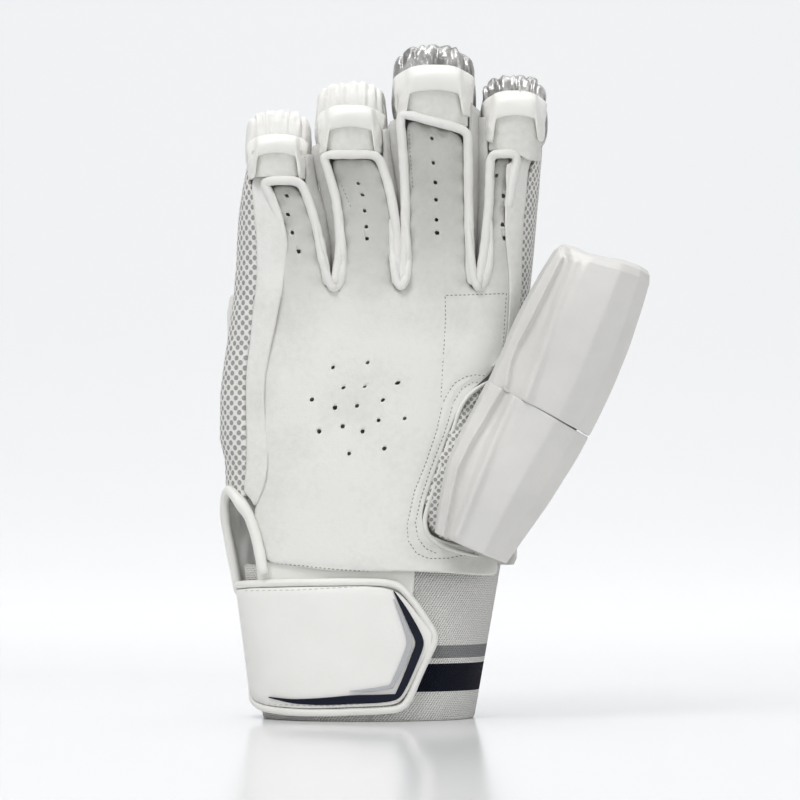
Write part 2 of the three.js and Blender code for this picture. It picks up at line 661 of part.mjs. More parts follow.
// Last roll of a finger: a soft cushion whose gathered end stands above the tip
const TIP_PAD = [
  { out: 0, inset: 0.012, rise: 0 }, { out: 0.22, inset: 0, rise: 0.7 },
  { out: 0.55, inset: 0, rise: 1 }, { out: 0.88, inset: 0.008, rise: 0.62 },
  { out: 1, inset: 0.04, rise: -0.2 },
];
const gatherDepth = 0.7;
function tipPadPiece(finger) {
  const spots = 20;
  const length = finger.tip - crotch;
  const low = (crotch + 0.62 * length) * fingerLength;
  const high = finger.ridge * fingerLength;
  const middle = 0.5 * (finger.hoodLeft + finger.hoodRight) * handBreadth;
  const half = 0.5 * (finger.hoodRight - finger.hoodLeft) * handBreadth - 0.1;
  const soft = (value) => Math.sign(value) * Math.abs(value) ** (2 / 3);
  const place = (ring, k) => {
    const angle = (k / spots) * 2 * Math.PI;
    const up = Math.max(0, Math.sin(angle));
    const fold = ring.out > 0 && ring.out < 1 && k % 2 === 1 ? gatherDepth * up : 0;
    const shrink = ring.inset * handBreadth + fold;
    const x = middle + (half - shrink) * soft(Math.cos(angle));
    const rise = ring.rise * (finger.tip - finger.ridge) * fingerLength * Math.sqrt(up);
    const z = 0.5 * (low + high) + (0.5 * (high - low) - shrink) * soft(Math.sin(angle)) + rise;
    return point(x, backPlane(z) + gap + ring.out * padHeight, z);
  };
  const points = TIP_PAD.flatMap((ring) => Array.from({ length: spots }, (_, k) => place(ring, k)));
  const faces = gridFaces(TIP_PAD.length - 1, spots, true);
  const centre = 0.5 * (low + high);
  const first = points.length;
  points.push(point(middle, backPlane(centre) + gap, centre));
  points.push(point(middle, backPlane(centre) + gap + padHeight + 1, centre));
  const last = (TIP_PAD.length - 1) * spots;
  for (let k = 0; k < spots; k += 1) {
    const next = (k + 1) % spots;
    faces.push([first, next, k]);
    faces.push([first + 1, last + k, last + next]);
  }
  return closedSolid(points, faces);
}

// Knuckle bars: one soft bar above each finger
const KNUCKLES = [
  { name: 'little', left: -0.604, right: -0.2 }, { name: 'ring', left: -0.194, right: 0.11 },
  { name: 'middle', left: 0.116, right: 0.415 }, { name: 'index', left: 0.421, right: 0.64 },
];
FINGERS.forEach((finger, k) => {
  const length = finger.tip - crotch;
  const at = (share) => (crotch + share * length) * fingerLength;
  const edges = (z) => {
    const { left, right } = fingerWalls(finger, z);
    return {
      left: (k === 0 ? leftOutline(z) : left) + 2 * gap,
      right: (k === 3 ? rightOutline(z) : right) - 2 * gap,
    };
  };
  const silver = finger.name === 'middle' || finger.name === 'index';
  add(`tip_pad_${finger.name}`, tipPadPiece(finger), silver ? SILVER : WHITE, silver ? 0.35 : 0.7);
  add(`middle_pad_${finger.name}`, padPiece(edges, at(0.32), at(0.6), padHeight, 2 * gap), WHITE);
  add(`base_pad_${finger.name}`, padPiece(edges, at(0.02), at(0.3), padHeight, 4 * gap), WHITE);
});
KNUCKLES.forEach((bar) => {
  const edges = () => ({ left: bar.left * handBreadth, right: bar.right * handBreadth });
  const [low, high] = [1.1 * fingerLength, 1.76 * fingerLength];
  add(`knuckle_bar_${bar.name}`, padPiece(edges, low, high, 1.08 * padHeight, 6 * gap), WHITE);
});
const guardEdges = (z) => ({ left: -0.5 * handBreadth, right: rightOutline(z) - gap });
const [guardLow, guardHigh] = [0.655 * fingerLength, 1.08 * fingerLength];
add('wrist_guard', padPiece(guardEdges, guardLow, guardHigh, 0.9 * padHeight, 4 * gap, 12, 5), WHITE);

// Thumb: a leather sleeve that grows out of the thumb hole, under two hard padded shells
const THUMB_AXIS = [
  { along: 0, x: 0.412, y: -0.46, z: 0.7, half: 0.14 },
  { along: 0.25, x: 0.535, y: -0.42, z: 0.975, half: 0.198 },
  { along: 0.5, x: 0.71, y: -0.4, z: 1.28, half: 0.208 },
  { along: 0.75, x: 0.84, y: -0.42, z: 1.575, half: 0.208 },
  { along: 1, x: 0.965, y: -0.42, z: 1.865, half: 0.18 },
];
// Edge of the thumb hole, from its low end round the palm side and back along the hand side.
// The depth runs from the palm leather, 0, to the back leather, 1.
const THUMB_HOLE = [
  { x: 0.515, z: 0.712, depth: 0.18 }, { x: 0.4, z: 0.73, depth: 0.03 },
  { x: 0.305, z: 0.735, depth: 0.03 }, { x: 0.226, z: 0.785, depth: 0.03 },
  { x: 0.222, z: 0.88, depth: 0.03 }, { x: 0.254, z: 0.98, depth: 0.03 },
  { x: 0.302, z: 1.11, depth: 0.03 }, { x: 0.36, z: 1.26, depth: 0.03 },
  { x: 0.445, z: 1.36, depth: 0.05 }, { x: 0.54, z: 1.385, depth: 0.45 },
  { x: 0.585, z: 1.26, depth: 0.9 }, { x: 0.58, z: 1.08, depth: 1 },
  { x: 0.575, z: 0.9, depth: 1 }, { x: 0.565, z: 0.74, depth: 1 },
  { x: 0.556, z: 0.668, depth: 0.85 }, { x: 0.54, z: 0.66, depth: 0.5 },
];
const onAxis = (t) => point(
  handBreadth * along(THUMB_AXIS, 'along', 'x', t),
  handDepth * along(THUMB_AXIS, 'along', 'y', t),
  fingerLength * along(THUMB_AXIS, 'along', 'z', t),
);
function thumbFrame(t) {
  const ahead = onAxis(Math.min(1, t + 0.02)).sub(onAxis(Math.max(0, t - 0.02)));
  const across = point(ahead.z, 0, -ahead.x).normalize();
  const wide = along(THUMB_AXIS, 'along', 'half', t) / 0.21;
  return { centre: onAxis(t), across, ahead: ahead.normalize(), wide };
}
const thumbHalf = 0.194 * handBreadth;
const thumbDeep = 0.25 * handDepth;

const holePoints = THUMB_HOLE.map((row) => {
  const [x, z] = [row.x * handBreadth, row.z * fingerLength];
  const back = handBack(x, z) - backLeather - 6 * gap;
  return point(x, mix(palmFront(x, z), back, row.depth), z);
});

function sleevePoint(row, k) {
  const angle = (k / THUMB_HOLE.length) * 2 * Math.PI;
  const { centre, across, wide } = thumbFrame(row.along);
  const round = centre
    .addScaledVector(across, thumbHalf * row.width * wide * Math.cos(angle) - 0.03 * handBreadth)
    .add(point(0, -thumbDeep * row.width * Math.min(1, wide) * Math.sin(angle), 0));
  return holePoints[k].clone().lerp(round, row.free);
}
const THUMB_ROWS = [
  { along: 0.1, free: 0, width: 1 }, { along: 0.16, free: 0.3, width: 1 },
  { along: 0.22, free: 0.6, width: 1 }, { along: 0.28, free: 0.85, width: 1 },
  { along: 0.34, free: 0.97, width: 1 }, { along: 0.355, free: 1, width: 1 },
  { along: 0.46, free: 1, width: 1 }, { along: 0.6, free: 1, width: 1 },
  { along: 0.75, free: 1, width: 1 }, { along: 0.88, free: 1, width: 1 },
  { along: 0.93, free: 1, width: 0.9 }, { along: 0.96, free: 1, width: 0.62 },
  { along: 0.975, free: 1, width: 0.26 },
];
// A closed ring wall, its inner sheet set in square to the outer one
function sleevePiece(rows, pole) {
  const spots = THUMB_HOLE.length;
  const outer = rows.flatMap((row) => THUMB_HOLE.map((_, k) => sleevePoint(row, k)));
  const faces = gridFaces(rows.length - 1, spots, true);
  if (pole) {
    const first = outer.length - spots;
    outer.push(pole);
    THUMB_HOLE.forEach((_, k) => faces.push([first + k, first + ((k + 1) % spots), outer.length - 1]));
  }
  const sheet = closedSolid(outer, faces);
  sheet.computeVertexNormals();
  const normals = sheet.getAttribute('normal');
  const ringMiddle = outer.slice(0, spots).reduce((sum, p) => sum.add(p), point(0, 0, 0)).divideScalar(spots);
  const outward = (k) => new THREE.Vector3().fromBufferAttribute(normals, k);
  const sign = Math.sign(outward(0).dot(outer[0].clone().sub(ringMiddle)));
  const inner = outer.map((p, k) => p.clone().addScaledVector(outward(k), -sign * sideLeather));
  return thicken(outer, inner, faces);
}
const gussetRows = THUMB_ROWS.slice(0, 5);
const sleeveRows = THUMB_ROWS.slice(5);
const thumbPole = onAxis(0.985).addScaledVector(thumbFrame(0.985).across, -0.03 * handBreadth);
add('thumb_gusset', sleevePiece(gussetRows), MESH_WHITE);
add('thumb_sleeve', sleevePiece(sleeveRows, thumbPole), WHITE);

// Section of a thumb shell, across the thumb and out from its axis
const SHELL_SECTION = [
  { outX: -0.26, outY: -0.02, inX: -0.236, inY: -0.02 },
  { outX: -0.245, outY: 0.09, inX: -0.228, inY: 0.074 },
  { outX: -0.205, outY: 0.135, inX: -0.18, inY: 0.112 },
  { outX: -0.09, outY: 0.2, inX: -0.09, inY: 0.141 },
  { outX: 0.06, outY: 0.185, inX: 0.05, inY: 0.136 },
  { outX: 0.16, outY: 0.13, inX: 0.13, inY: 0.1 },
  { outX: 0.215, outY: 0.04, inX: 0.183, inY: 0.03 },
  { outX: 0.21, outY: -0.06, inX: 0.181, inY: -0.06 },
];
function shellPiece(rows) {
  const place = (row, spot, x, y) => {
    const { centre, across, ahead, wide } = thumbFrame(row.along);
    const lift = 0.06 * (1 - smooth(row.along, 0.2, 0.45)) * (Math.abs(spot[x]) > 0.2 ? 1 : 0.35);
    const out = spot[y] * row.deep + lift;
    return centre
      .addScaledVector(ahead, row.beyond * handBreadth)
      .addScaledVector(across, spot[x] * wide * row.narrow * handBreadth)
      .add(point(0, -out * handBreadth, 0));
  };
  return wall(
    rows,
    SHELL_SECTION,
    (row, spot) => place(row, spot, 'outX', 'outY'),
    (row, spot) => place(row, spot, 'inX', 'inY'),
  );
}
const plainRow = (share) => ({ along: share, deep: 1, narrow: 1, beyond: 0 });
const BASE_SHELL = steps(0, 0.46, 6).map(plainRow);
const TIP_SHELL = [
  ...steps(0.48, 0.94, 5).map(plainRow),
  { along: 1, deep: 0.94, narrow: 1, beyond: 0 },
  { along: 1, deep: 0.78, narrow: 0.94, beyond: 0.035 },
  { along: 1, deep: 0.5, narrow: 0.86, beyond: 0.055 },
];
add('thumb_shell_base', shellPiece(BASE_SHELL), WHITE, 0.45);
add('thumb_shell_tip', shellPiece(TIP_SHELL), WHITE, 0.45);

// Cuff: a knitted band, open on the little finger side
const CUFF = [
  { level: 0, half: 0.412, middle: -0.0137, deep: 0.27 },
  { level: 1, half: 0.502, middle: 0, deep: 0.215 },
];
const cuffAt = (z, column) => mix(CUFF[0][column], CUFF[1][column], z / cuffHeight);
const cuffRound = (value) => Math.sign(value) * Math.abs(value) ** (2 / 2.3);
// A place on the cuff: 0 degrees is the thumb side, 90 the palm side, 180 the little finger side
function cuffPoint(degrees, z, off) {
  const angle = THREE.MathUtils.degToRad(degrees);
  const half = cuffAt(z, 'half') * cuffBreadth + off;
  const deep = cuffAt(z, 'deep') * handBreadth + off;
  return point(
    cuffAt(z, 'middle') * cuffBreadth + half * cuffRound(Math.cos(angle)),
    0.04 * handDepth - deep * cuffRound(Math.sin(angle)),
    z,
  );
}
// The same for a place given by x on the palm side
function cuffFront(x, z, off) {
  const share = (x - cuffAt(z, 'middle') * cuffBreadth) / (cuffAt(z, 'half') * cuffBreadth + off);
  const turned = Math.sign(share) * Math.abs(share) ** (2.3 / 2);
  return cuffPoint(THREE.MathUtils.radToDeg(Math.acos(turned)), z, off);
}
const knitTurns = steps(-172, 172, 36);
add('wristband', wall(
  steps(0, cuffHeight, 2),
  knitTurns,
  (z, turn) => cuffPoint(turn, z, 0),
  (z, turn) => cuffPoint(turn, z, -knitWall),
), GREY, 0.95);
const bindingOff = 2 * gap;
const bindingWall = 1;
const bindingTurns = steps(74, 148, 9);
const bindingRows = [0.79 * cuffHeight, cuffHeight, 1.024 * cuffHeight];
add('cuff_binding', wall(
  bindingRows,
  bindingTurns,
  (z, turn) => cuffPoint(turn, z, bindingOff + bindingWall),
  (z, turn) => cuffPoint(turn, z, bindingOff),
), WHITE);

// Wrist strap: from the back round the little finger side to its point on the palm side.
// The turn is in degrees round the cuff, low and high are shares of the cuff height.
const STRAP_BODY = [
  { turn: 64.8, low: 0.497, high: 0.56 }, { turn: 68, low: 0.4, high: 0.615 },
  { turn: 71.5, low: 0.295, high: 0.675 }, { turn: 76, low: 0.13, high: 0.755 },
  { turn: 81.5, low: 0.106, high: 0.85 }, { turn: 90, low: 0.1, high: 0.872 },
  { turn: 117, low: 0.083, high: 0.865 }, { turn: 145, low: 0.094, high: 0.853 },
  { turn: 161, low: 0.114, high: 0.843 }, { turn: 175, low: 0.17, high: 0.833 },
  { turn: 200, low: 0.202, high: 0.83 }, { turn: 250, low: 0.233, high: 0.815 },
];
const straight = (rows, place, column, at) => {
  const k = Math.max(1, rows.findIndex((row) => row[place] >= at - 1e-6));
  const [a, b] = [rows[k - 1], rows[k]];
  return mix(a[column], b[column], (at - a[place]) / (b[place] - a[place]));
};
const strapOff = bindingOff + bindingWall + 0.5;
const strapTurns = [64.8, 68, 71.5, 76, 81.5, ...steps(90, 180, 11), ...steps(188, 250, 7)];
const strapHeight = (turn, share) => cuffHeight * mix(
  straight(STRAP_BODY, 'turn', 'low', turn),
  straight(STRAP_BODY, 'turn', 'high', turn),
  share,
);
add('strap', wall(
  [0, 0.35, 0.7, 1],
  strapTurns,
  (share, turn) => cuffPoint(turn, strapHeight(turn, share), strapOff + strapWall),
  (share, turn) => cuffPoint(turn, strapHeight(turn, share), strapOff),
), CREAM, 0.5);

// Piping along the edge of the strap, from the back round the point and back again
const PIPING = [
  { turn: 249, high: 0.842 }, { turn: 225, high: 0.85 }, { turn: 205, high: 0.857 },
  { turn: 190, high: 0.86 }, { turn: 178, high: 0.863 }, { turn: 166, high: 0.869 },
  { turn: 154, high: 0.876 }, { turn: 140, high: 0.884 }, { turn: 125, high: 0.891 },
  { turn: 110, high: 0.895 }, { turn: 96, high: 0.9 }, { turn: 83.5, high: 0.897 },
  { turn: 79.6, high: 0.86 }, { turn: 76, high: 0.8 }, { turn: 71, high: 0.707 },
  { turn: 66.6, high: 0.625 }, { turn: 63.4, high: 0.565 }, { turn: 62.7, high: 0.53 },
  { turn: 63.3, high: 0.49 }, { turn: 66.3, high: 0.395 }, { turn: 69.8, high: 0.28 },
  { turn: 73.2, high: 0.135 }, { turn: 77, high: 0.08 }, { turn: 84, high: 0.073 },
  { turn: 97, high: 0.064 }, { turn: 110, high: 0.057 }, { turn: 125, high: 0.056 },
  { turn: 140, high: 0.063 }, { turn: 154, high: 0.075 }, { turn: 166, high: 0.1 },
  { turn: 178, high: 0.143 }, { turn: 190, high: 0.158 }, { turn: 205, high: 0.174 },
  { turn: 225, high: 0.19 }, { turn: 249, high: 0.203 },
];
const pipingPoints = PIPING.map((row) => cuffPoint(row.turn, row.high * cuffHeight, strapOff + pipingRadius));
add('strap_piping', cord(pipingPoints, pipingRadius, 5), CREAM, 0.5);

// Two ribbons sewn on the strap: a point to the right and a tail to the left.
// x and width are shares of the hand breadth, z of the cuff height.
const DARK_RIBBON = [
  { x: 0.09, z: 0.84, width: 0.004 }, { x: 0.125, z: 0.745, width: 0.02 },
  { x: 0.165, z: 0.625, width: 0.031 }, { x: 0.2, z: 0.508, width: 0.036 },
  { x: 0.166, z: 0.373, width: 0.033 }, { x: 0.135, z: 0.255, width: 0.03 },
  { x: 0.104, z: 0.162, width: 0.028 }, { x: 0.03, z: 0.15, width: 0.034 },
  { x: -0.08, z: 0.146, width: 0.036 }, { x: -0.2, z: 0.131, width: 0.03 },
  { x: -0.32, z: 0.128, width: 0.018 }, { x: -0.42, z: 0.15, width: 0.004 },
];
const SILVER_RIBBON = [
  { x: 0.09, z: 0.79, width: 0.003 }, { x: 0.128, z: 0.65, width: 0.016 },
  { x: 0.16, z: 0.508, width: 0.024 }, { x: 0.122, z: 0.36, width: 0.021 },
  { x: 0.081, z: 0.228, width: 0.018 }, { x: 0.0, z: 0.207, width: 0.014 },
  { x: -0.09, z: 0.199, width: 0.003 },
];
const ribbonWall = 0.6;
const ribbonOff = strapOff + strapWall + gap;
function ribbonPiece(table) {
  const between = (row, next) => Object.fromEntries(
    Object.keys(row).map((key) => [key, 0.5 * (row[key] + next[key])]));
  const rows = table.flatMap((row, k) => (k === 0 ? [row] : [between(table[k - 1], row), row]));
  const middle = (k) => {
    const row = rows[Math.min(rows.length - 1, Math.max(0, k))];
    return point(row.x * handBreadth, 0, row.z * cuffHeight);
  };
  const place = (k, side, off) => {
    const before = middle(k).sub(middle(k - 1)).normalize();
    const after = middle(k + 1).sub(middle(k)).normalize();
    const ahead = before.add(after).normalize();
    const out = side * 0.5 * rows[k].width * handBreadth;
    const spot = middle(k).addScaledVector(point(ahead.z, 0, -ahead.x), out);
    return cuffFront(spot.x, spot.z, off);
  };
  return wall(
    rows.map((_, k) => k),
    [-1, 0, 1],
    (k, side) => place(k, side, ribbonOff + ribbonWall),
    (k, side) => place(k, side, ribbonOff),
  );
}
add('strap_stripe_dark', ribbonPiece(DARK_RIBBON), NAVY, 0.5);
add('strap_stripe_silver', ribbonPiece(SILVER_RIBBON), SILVER, 0.4);

// Vent on the little finger side: a rolled binding round an opening, with cloth behind it
const VENT = [
  { x: -0.441, y: -0.345, z: 0.6 }, { x: -0.452, y: -0.32, z: 0.66 },
  { x: -0.48, y: -0.265, z: 0.755 }, { x: -0.518, y: -0.21, z: 0.845 },
  { x: -0.565, y: -0.13, z: 0.92 }, { x: -0.588, y: -0.05, z: 0.938 },
  { x: -0.606, y: 0.03, z: 0.9 }, { x: -0.605, y: 0.07, z: 0.82 },
  { x: -0.588, y: 0.09, z: 0.71 }, { x: -0.575, y: 0.1, z: 0.62 },
];
const ventPoints = VENT.map((row) => point(row.x * handBreadth, row.y * handDepth, row.z * fingerLength));
add('vent_binding', cord(ventPoints, bindingRadius, 6), CREAM);
const FACING = [
  { x: -0.45, y: 0.2 }, { x: -0.49, y: 0.19 }, { x: -0.525, y: 0.175 }, { x: -0.555, y: 0.155 },
];
add('vent_facing', wall(
  steps(0.66, 0.825, 2),
  FACING,
  (z, row) => point(row.x * handBreadth, row.y * handDepth - 1.4, z * fingerLength),
  (z, row) => point(row.x * handBreadth, row.y * handDepth, z * fingerLength),
), GREY);

// Middle of the glove over the origin, cuff on the ground
const bounds = new THREE.Box3().setFromObject(glove);
const centre = bounds.getCenter(new THREE.Vector3());
glove.children.forEach((mesh) => mesh.geometry.translate(-centre.x, -centre.y, -bounds.min.z));

export default glove;
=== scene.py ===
"""A padded batting glove for the right hand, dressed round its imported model."""

import logging
import math
from dataclasses import dataclass
from enum import Enum
from typing import Callable, List, Sequence, Tuple, Union

import bmesh
import bpy
import numpy as np
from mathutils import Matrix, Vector, noise
from mathutils.bvhtree import BVHTree
from mathutils.kdtree import KDTree


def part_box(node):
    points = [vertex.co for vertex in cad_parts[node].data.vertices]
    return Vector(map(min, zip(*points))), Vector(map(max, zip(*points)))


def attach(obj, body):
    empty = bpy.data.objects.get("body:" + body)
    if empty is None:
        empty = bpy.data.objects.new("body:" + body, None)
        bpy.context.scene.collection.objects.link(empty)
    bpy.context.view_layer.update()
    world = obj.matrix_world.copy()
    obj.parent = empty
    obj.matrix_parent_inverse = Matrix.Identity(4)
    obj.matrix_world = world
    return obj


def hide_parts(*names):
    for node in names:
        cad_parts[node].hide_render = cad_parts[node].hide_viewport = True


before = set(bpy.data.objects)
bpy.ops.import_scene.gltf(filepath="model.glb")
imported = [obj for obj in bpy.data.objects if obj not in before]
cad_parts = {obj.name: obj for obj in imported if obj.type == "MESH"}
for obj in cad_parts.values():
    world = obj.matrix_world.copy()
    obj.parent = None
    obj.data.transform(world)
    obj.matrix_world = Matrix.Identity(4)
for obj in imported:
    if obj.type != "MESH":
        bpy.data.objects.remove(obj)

Socket = bpy.types.NodeSocket
Colour = Tuple[float, float, float]
Tint = Union[Socket, Colour]
Corner = Tuple[float, float]
Line = Tuple[Corner, ...]
Points = np.ndarray

log = logging.getLogger("glove")
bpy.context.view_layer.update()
MM = 0.001
PIXEL = 0.41
HAND_COLUMN = 372.0
FOOT_ROW = 718.0
SHIFT_X = -25.61
FINGERS = ("little", "ring", "middle", "index")
IN_FRONT = -200.0
GAPS = ("little_ring", "ring_middle", "middle_index")


def picture_x(column: float) -> float:
    """X in millimetres of a column of the 800-pixel front view."""
    return (column - HAND_COLUMN) * PIXEL + SHIFT_X


def picture_z(row: float) -> float:
    """Z in millimetres of a row of the 800-pixel front view."""
    return (FOOT_ROW - row) * PIXEL


class Grain(Enum):
    """Fine relief of a surface."""

    LEATHER = "leather"
    PALM = "palm"
    COATED = "coated"
    CRINKLED = "crinkled"
    PERFORATED = "perforated"
    KNIT = "knit"
    RIBBON = "ribbon"
    THREAD = "thread"


@dataclass(frozen=True)
class Finish:
    """A procedural surface finish, built once as a node material."""

    name: str
    light: Colour
    dark: Colour
    roughness: float
    grain: Grain
    bump: float = 0.3
    sheen: float = 0.0
    metal: float = 0.0
    shine: float = 0.5
    turn: float = 0.0
    pitch: float = 0.0024

    def material(self) -> bpy.types.Material:
        """The node material of this finish.

        Returns:
            The material, made on the first call and shared after that.
        """
        found = bpy.data.materials.get(self.name)
        if found:
            return found
        made = bpy.data.materials.new(self.name)
        made.use_nodes = True
        Surface(made, self).build()
        return made


# Multiplied onto the finger fronts: painted shade of the curling fingers, together with greyer leather there.
FINGER_GREYING_AND_SHADE = (0.63, 0.63, 0.62)
# The dark colour is painted shade inside the holes.
PIERCED = (0.80, 0.79, 0.76), (0.34, 0.335, 0.325), 0.7, Grain.PERFORATED
BAND_TOP = 0.063
BANDS = (
    (0.0, None), (0.0117, (0.004, 0.006, 0.016)), (0.023, None), (0.0253, (0.3, 0.305, 0.31)), (0.0305, None),
)


class Surface:
    """Node graph of one finish."""

    def __init__(self, material: bpy.types.Material, finish: Finish) -> None:
        """Keeps the tree that the nodes go into.

        Args:
            material: The material to fill.
            finish: The finish that it shows.
        """
        self.tree = material.node_tree
        self.finish = finish
        self.shader = self.tree.nodes["Principled BSDF"]

    def node(self, kind: str, **values: object) -> bpy.types.Node:
        """Adds a node.

        Args:
            kind: Blender's name of the node type.
            values: Inputs by name with underscores for spaces, or node properties.

        Returns:
            The new node.
        """
        made = self.tree.nodes.new(kind)
        for key, value in values.items():
            socket = made.inputs.get(key.replace("_", " "))
            if socket is not None and not hasattr(made, key):
                socket.default_value = value
            else:
                setattr(made, key, value)
        return made

    def link(self, source: Socket, target: Socket) -> None:
        """Joins two sockets."""
        self.tree.links.new(source, target)

    def ramp(self, source: Socket, low: float, high: float) -> Socket:
        """Stretches a value between two limits to 0 and 1.

        Args:
            source: Socket that gives the value.
            low: Value that becomes 0.
            high: Value that becomes 1.

        Returns:
            The stretched value's socket.
        """
        made = self.node("ShaderNodeMapRange", From_Min=low, From_Max=high)
        self.link(source, made.inputs["Value"])
        return made.outputs["Result"]

    def mix(self, share: Union[Socket, float], first: Tint, second: Tint, kind: str = "MIX") -> Socket:
        """Blends two colours.

        Args:
            share: How much of the second colour shows.
            first: A colour or the socket that gives it.
            second: The other colour or its socket.
            kind: Blender's name of the blend.

        Returns:
            The blended colour's socket.
        """
        made = self.node("ShaderNodeMix", data_type="RGBA", blend_type=kind)
        for target, value in ((made.inputs[0], share), (made.inputs[6], first), (made.inputs[7], second)):
            if isinstance(value, Socket):
                self.link(value, target)
            else:
                target.default_value = value if isinstance(value, float) else (*value, 1.0)
        return made.outputs[2]

    def colour(self, share: Socket) -> None:
        """Blends the finish's two colours, from dark to light."""
        self.link(self.mix(share, self.finish.dark, self.finish.light), self.shader.inputs["Base Color"])

    def turned(self, place: Socket, degrees: float) -> Socket:
        """Coordinates turned about Z.

        Args:
            place: Socket of the coordinates.
            degrees: How far they are turned.

        Returns:
            Socket of the turned coordinates.
        """
        made = self.node("ShaderNodeMapping", Rotation=(0.0, 0.0, math.radians(degrees)))
        self.link(place, made.inputs["Vector"])
        return made.outputs["Vector"]

    def parts(self, place: Socket) -> bpy.types.NodeOutputs:
        """The X, Y and Z sockets of coordinates.

        Args:
            place: Socket of the coordinates.

        Returns:
            The sockets, by name.
        """
        made = self.node("ShaderNodeSeparateXYZ")
        self.link(place, made.inputs[0])
        return made.outputs

    def relief(self, height: Socket, distance: float) -> None:
        """Adds bump from a height.

        Args:
            height: Socket that gives the height.
            distance: Depth of the relief in metres.
        """
        bump = self.node("ShaderNodeBump", Strength=self.finish.bump, Distance=distance)
        self.link(height, bump.inputs["Height"])
        self.link(bump.outputs["Normal"], self.shader.inputs["Normal"])

    def noise(self, place: Socket, scale: float, detail: float = 3.0) -> Socket:
        """A noise value at a place.

        Args:
            place: Socket that gives the coordinates.
            scale: Grains in a metre.
            detail: Octaves of the noise.

        Returns:
            The noise socket.
        """
        made = self.node("ShaderNodeTexNoise", Scale=scale, Detail=detail)
        self.link(place, made.inputs["Vector"])
        return made.outputs["Fac"]

    def build(self) -> None:
        """Makes the whole graph."""
        values = {
            "Roughness": self.finish.roughness,
            "Sheen Weight": self.finish.sheen,
            "Metallic": self.finish.metal,
            "Specular IOR Level": self.finish.shine,
        }
        for name, value in values.items():
            self.shader.inputs[name].default_value = value
        coordinates = self.node("ShaderNodeTexCoord").outputs["Object"]
        getattr(self, self.finish.grain.value)(coordinates)

    def add(self, first: Socket, second: Socket, share: float) -> Socket:
        """First value plus a share of the second.

        Args:
            first: Socket of the first value.
            second: Socket of the second value.
            share: How much of the second is added.

        Returns:
            Socket of the sum.
        """
        made = self.node("ShaderNodeMath", operation="MULTIPLY_ADD")
        self.link(second, made.inputs[0])
        made.inputs[1].default_value = share
        self.link(first, made.inputs[2])
        return made.outputs[0]

    def leather(self, place: Socket) -> None:
        """Soft leather: pores, fine creases and a little soiling.

        Args:
            place: Socket of the coordinates.
        """
        pores = self.node("ShaderNodeTexVoronoi", Scale=1500.0)
        self.link(place, pores.inputs["Vector"])
        creases = self.noise(place, 420.0, 5.0)
        soiling = self.noise(place, 38.0, 4.0)
        height = self.add(creases, pores.outputs["Distance"], 0.35)
        self.colour(self.ramp(self.add(soiling, creases, 0.5), 0.45, 0.85))
        self.relief(height, 0.0005)

    def palm(self, place: Socket) -> None:
        """The palm's leather, darker towards the fingertips: painted shade of the finger fronts, which curl
        away from the light, together with greyer leather there.

        Args:
            place: Socket of the coordinates.
        """
        self.leather(place)
        plain = self.shader.inputs["Base Color"].links[0].from_socket
        cloud = self.noise(place, 30.0)
        # Painted shade with greyer leather: the colour darkens above the finger roots.
        high = self.ramp(self.add(self.parts(place)["Z"], cloud, 0.03), 0.17, 0.232)
        self.link(self.mix(high, plain, FINGER_GREYING_AND_SHADE, "MULTIPLY"), self.shader.inputs["Base Color"])

    def coated(self, place: Socket) -> None:
        """Smooth coated leather with faint grain.

        Args:
            place: Socket of the coordinates.
        """
        grain = self.noise(place, 900.0)
        wear = self.noise(place, 45.0, 4.0)
        self.colour(self.ramp(wear, 0.3, 0.7))
        self.relief(self.add(grain, wear, 0.6), 0.0003)

    def crinkled(self, place: Socket) -> None:
        """Shiny crushed cloth, its colour following the folds: painted shade in the hollows and painted
        highlight on the crests.

        Args:
            place: Socket of the coordinates.
        """
        folds = self.noise(place, 150.0)
        # Painted shade and highlight: the colour darkens in the fold hollows and lightens on the crests.
        self.colour(self.ramp(folds, 0.35, 0.65))
        self.relief(folds, 0.0011)

    def perforated(self, place: Socket) -> None:
        """Thin leather pierced by staggered round holes that follow the rounded side, the holes shown as dark
        spots of painted shade.

        Args:
            place: Socket of the coordinates.
        """
        parts = self.parts(self.turned(place, self.finish.turn))
        flat = self.node("ShaderNodeCombineXYZ")
        self.link(parts["X"], flat.inputs["X"])
        self.link(parts["Z"], flat.inputs["Y"])
        cells = self.node("ShaderNodeTexVoronoi", voronoi_dimensions="2D", Randomness=0.12)
        cells.inputs["Scale"].default_value = 1.0 / self.finish.pitch
        self.link(self.turned(flat.outputs[0], 45.0), cells.inputs["Vector"])
        wear = self.noise(place, 300.0)
        # Painted shade: the hole spots take the dark colour.
        hole_shade = self.ramp(self.add(cells.outputs["Distance"], wear, 0.12), 0.36, 0.46)
        self.colour(hole_shade)
        self.relief(hole_shade, 0.0009)

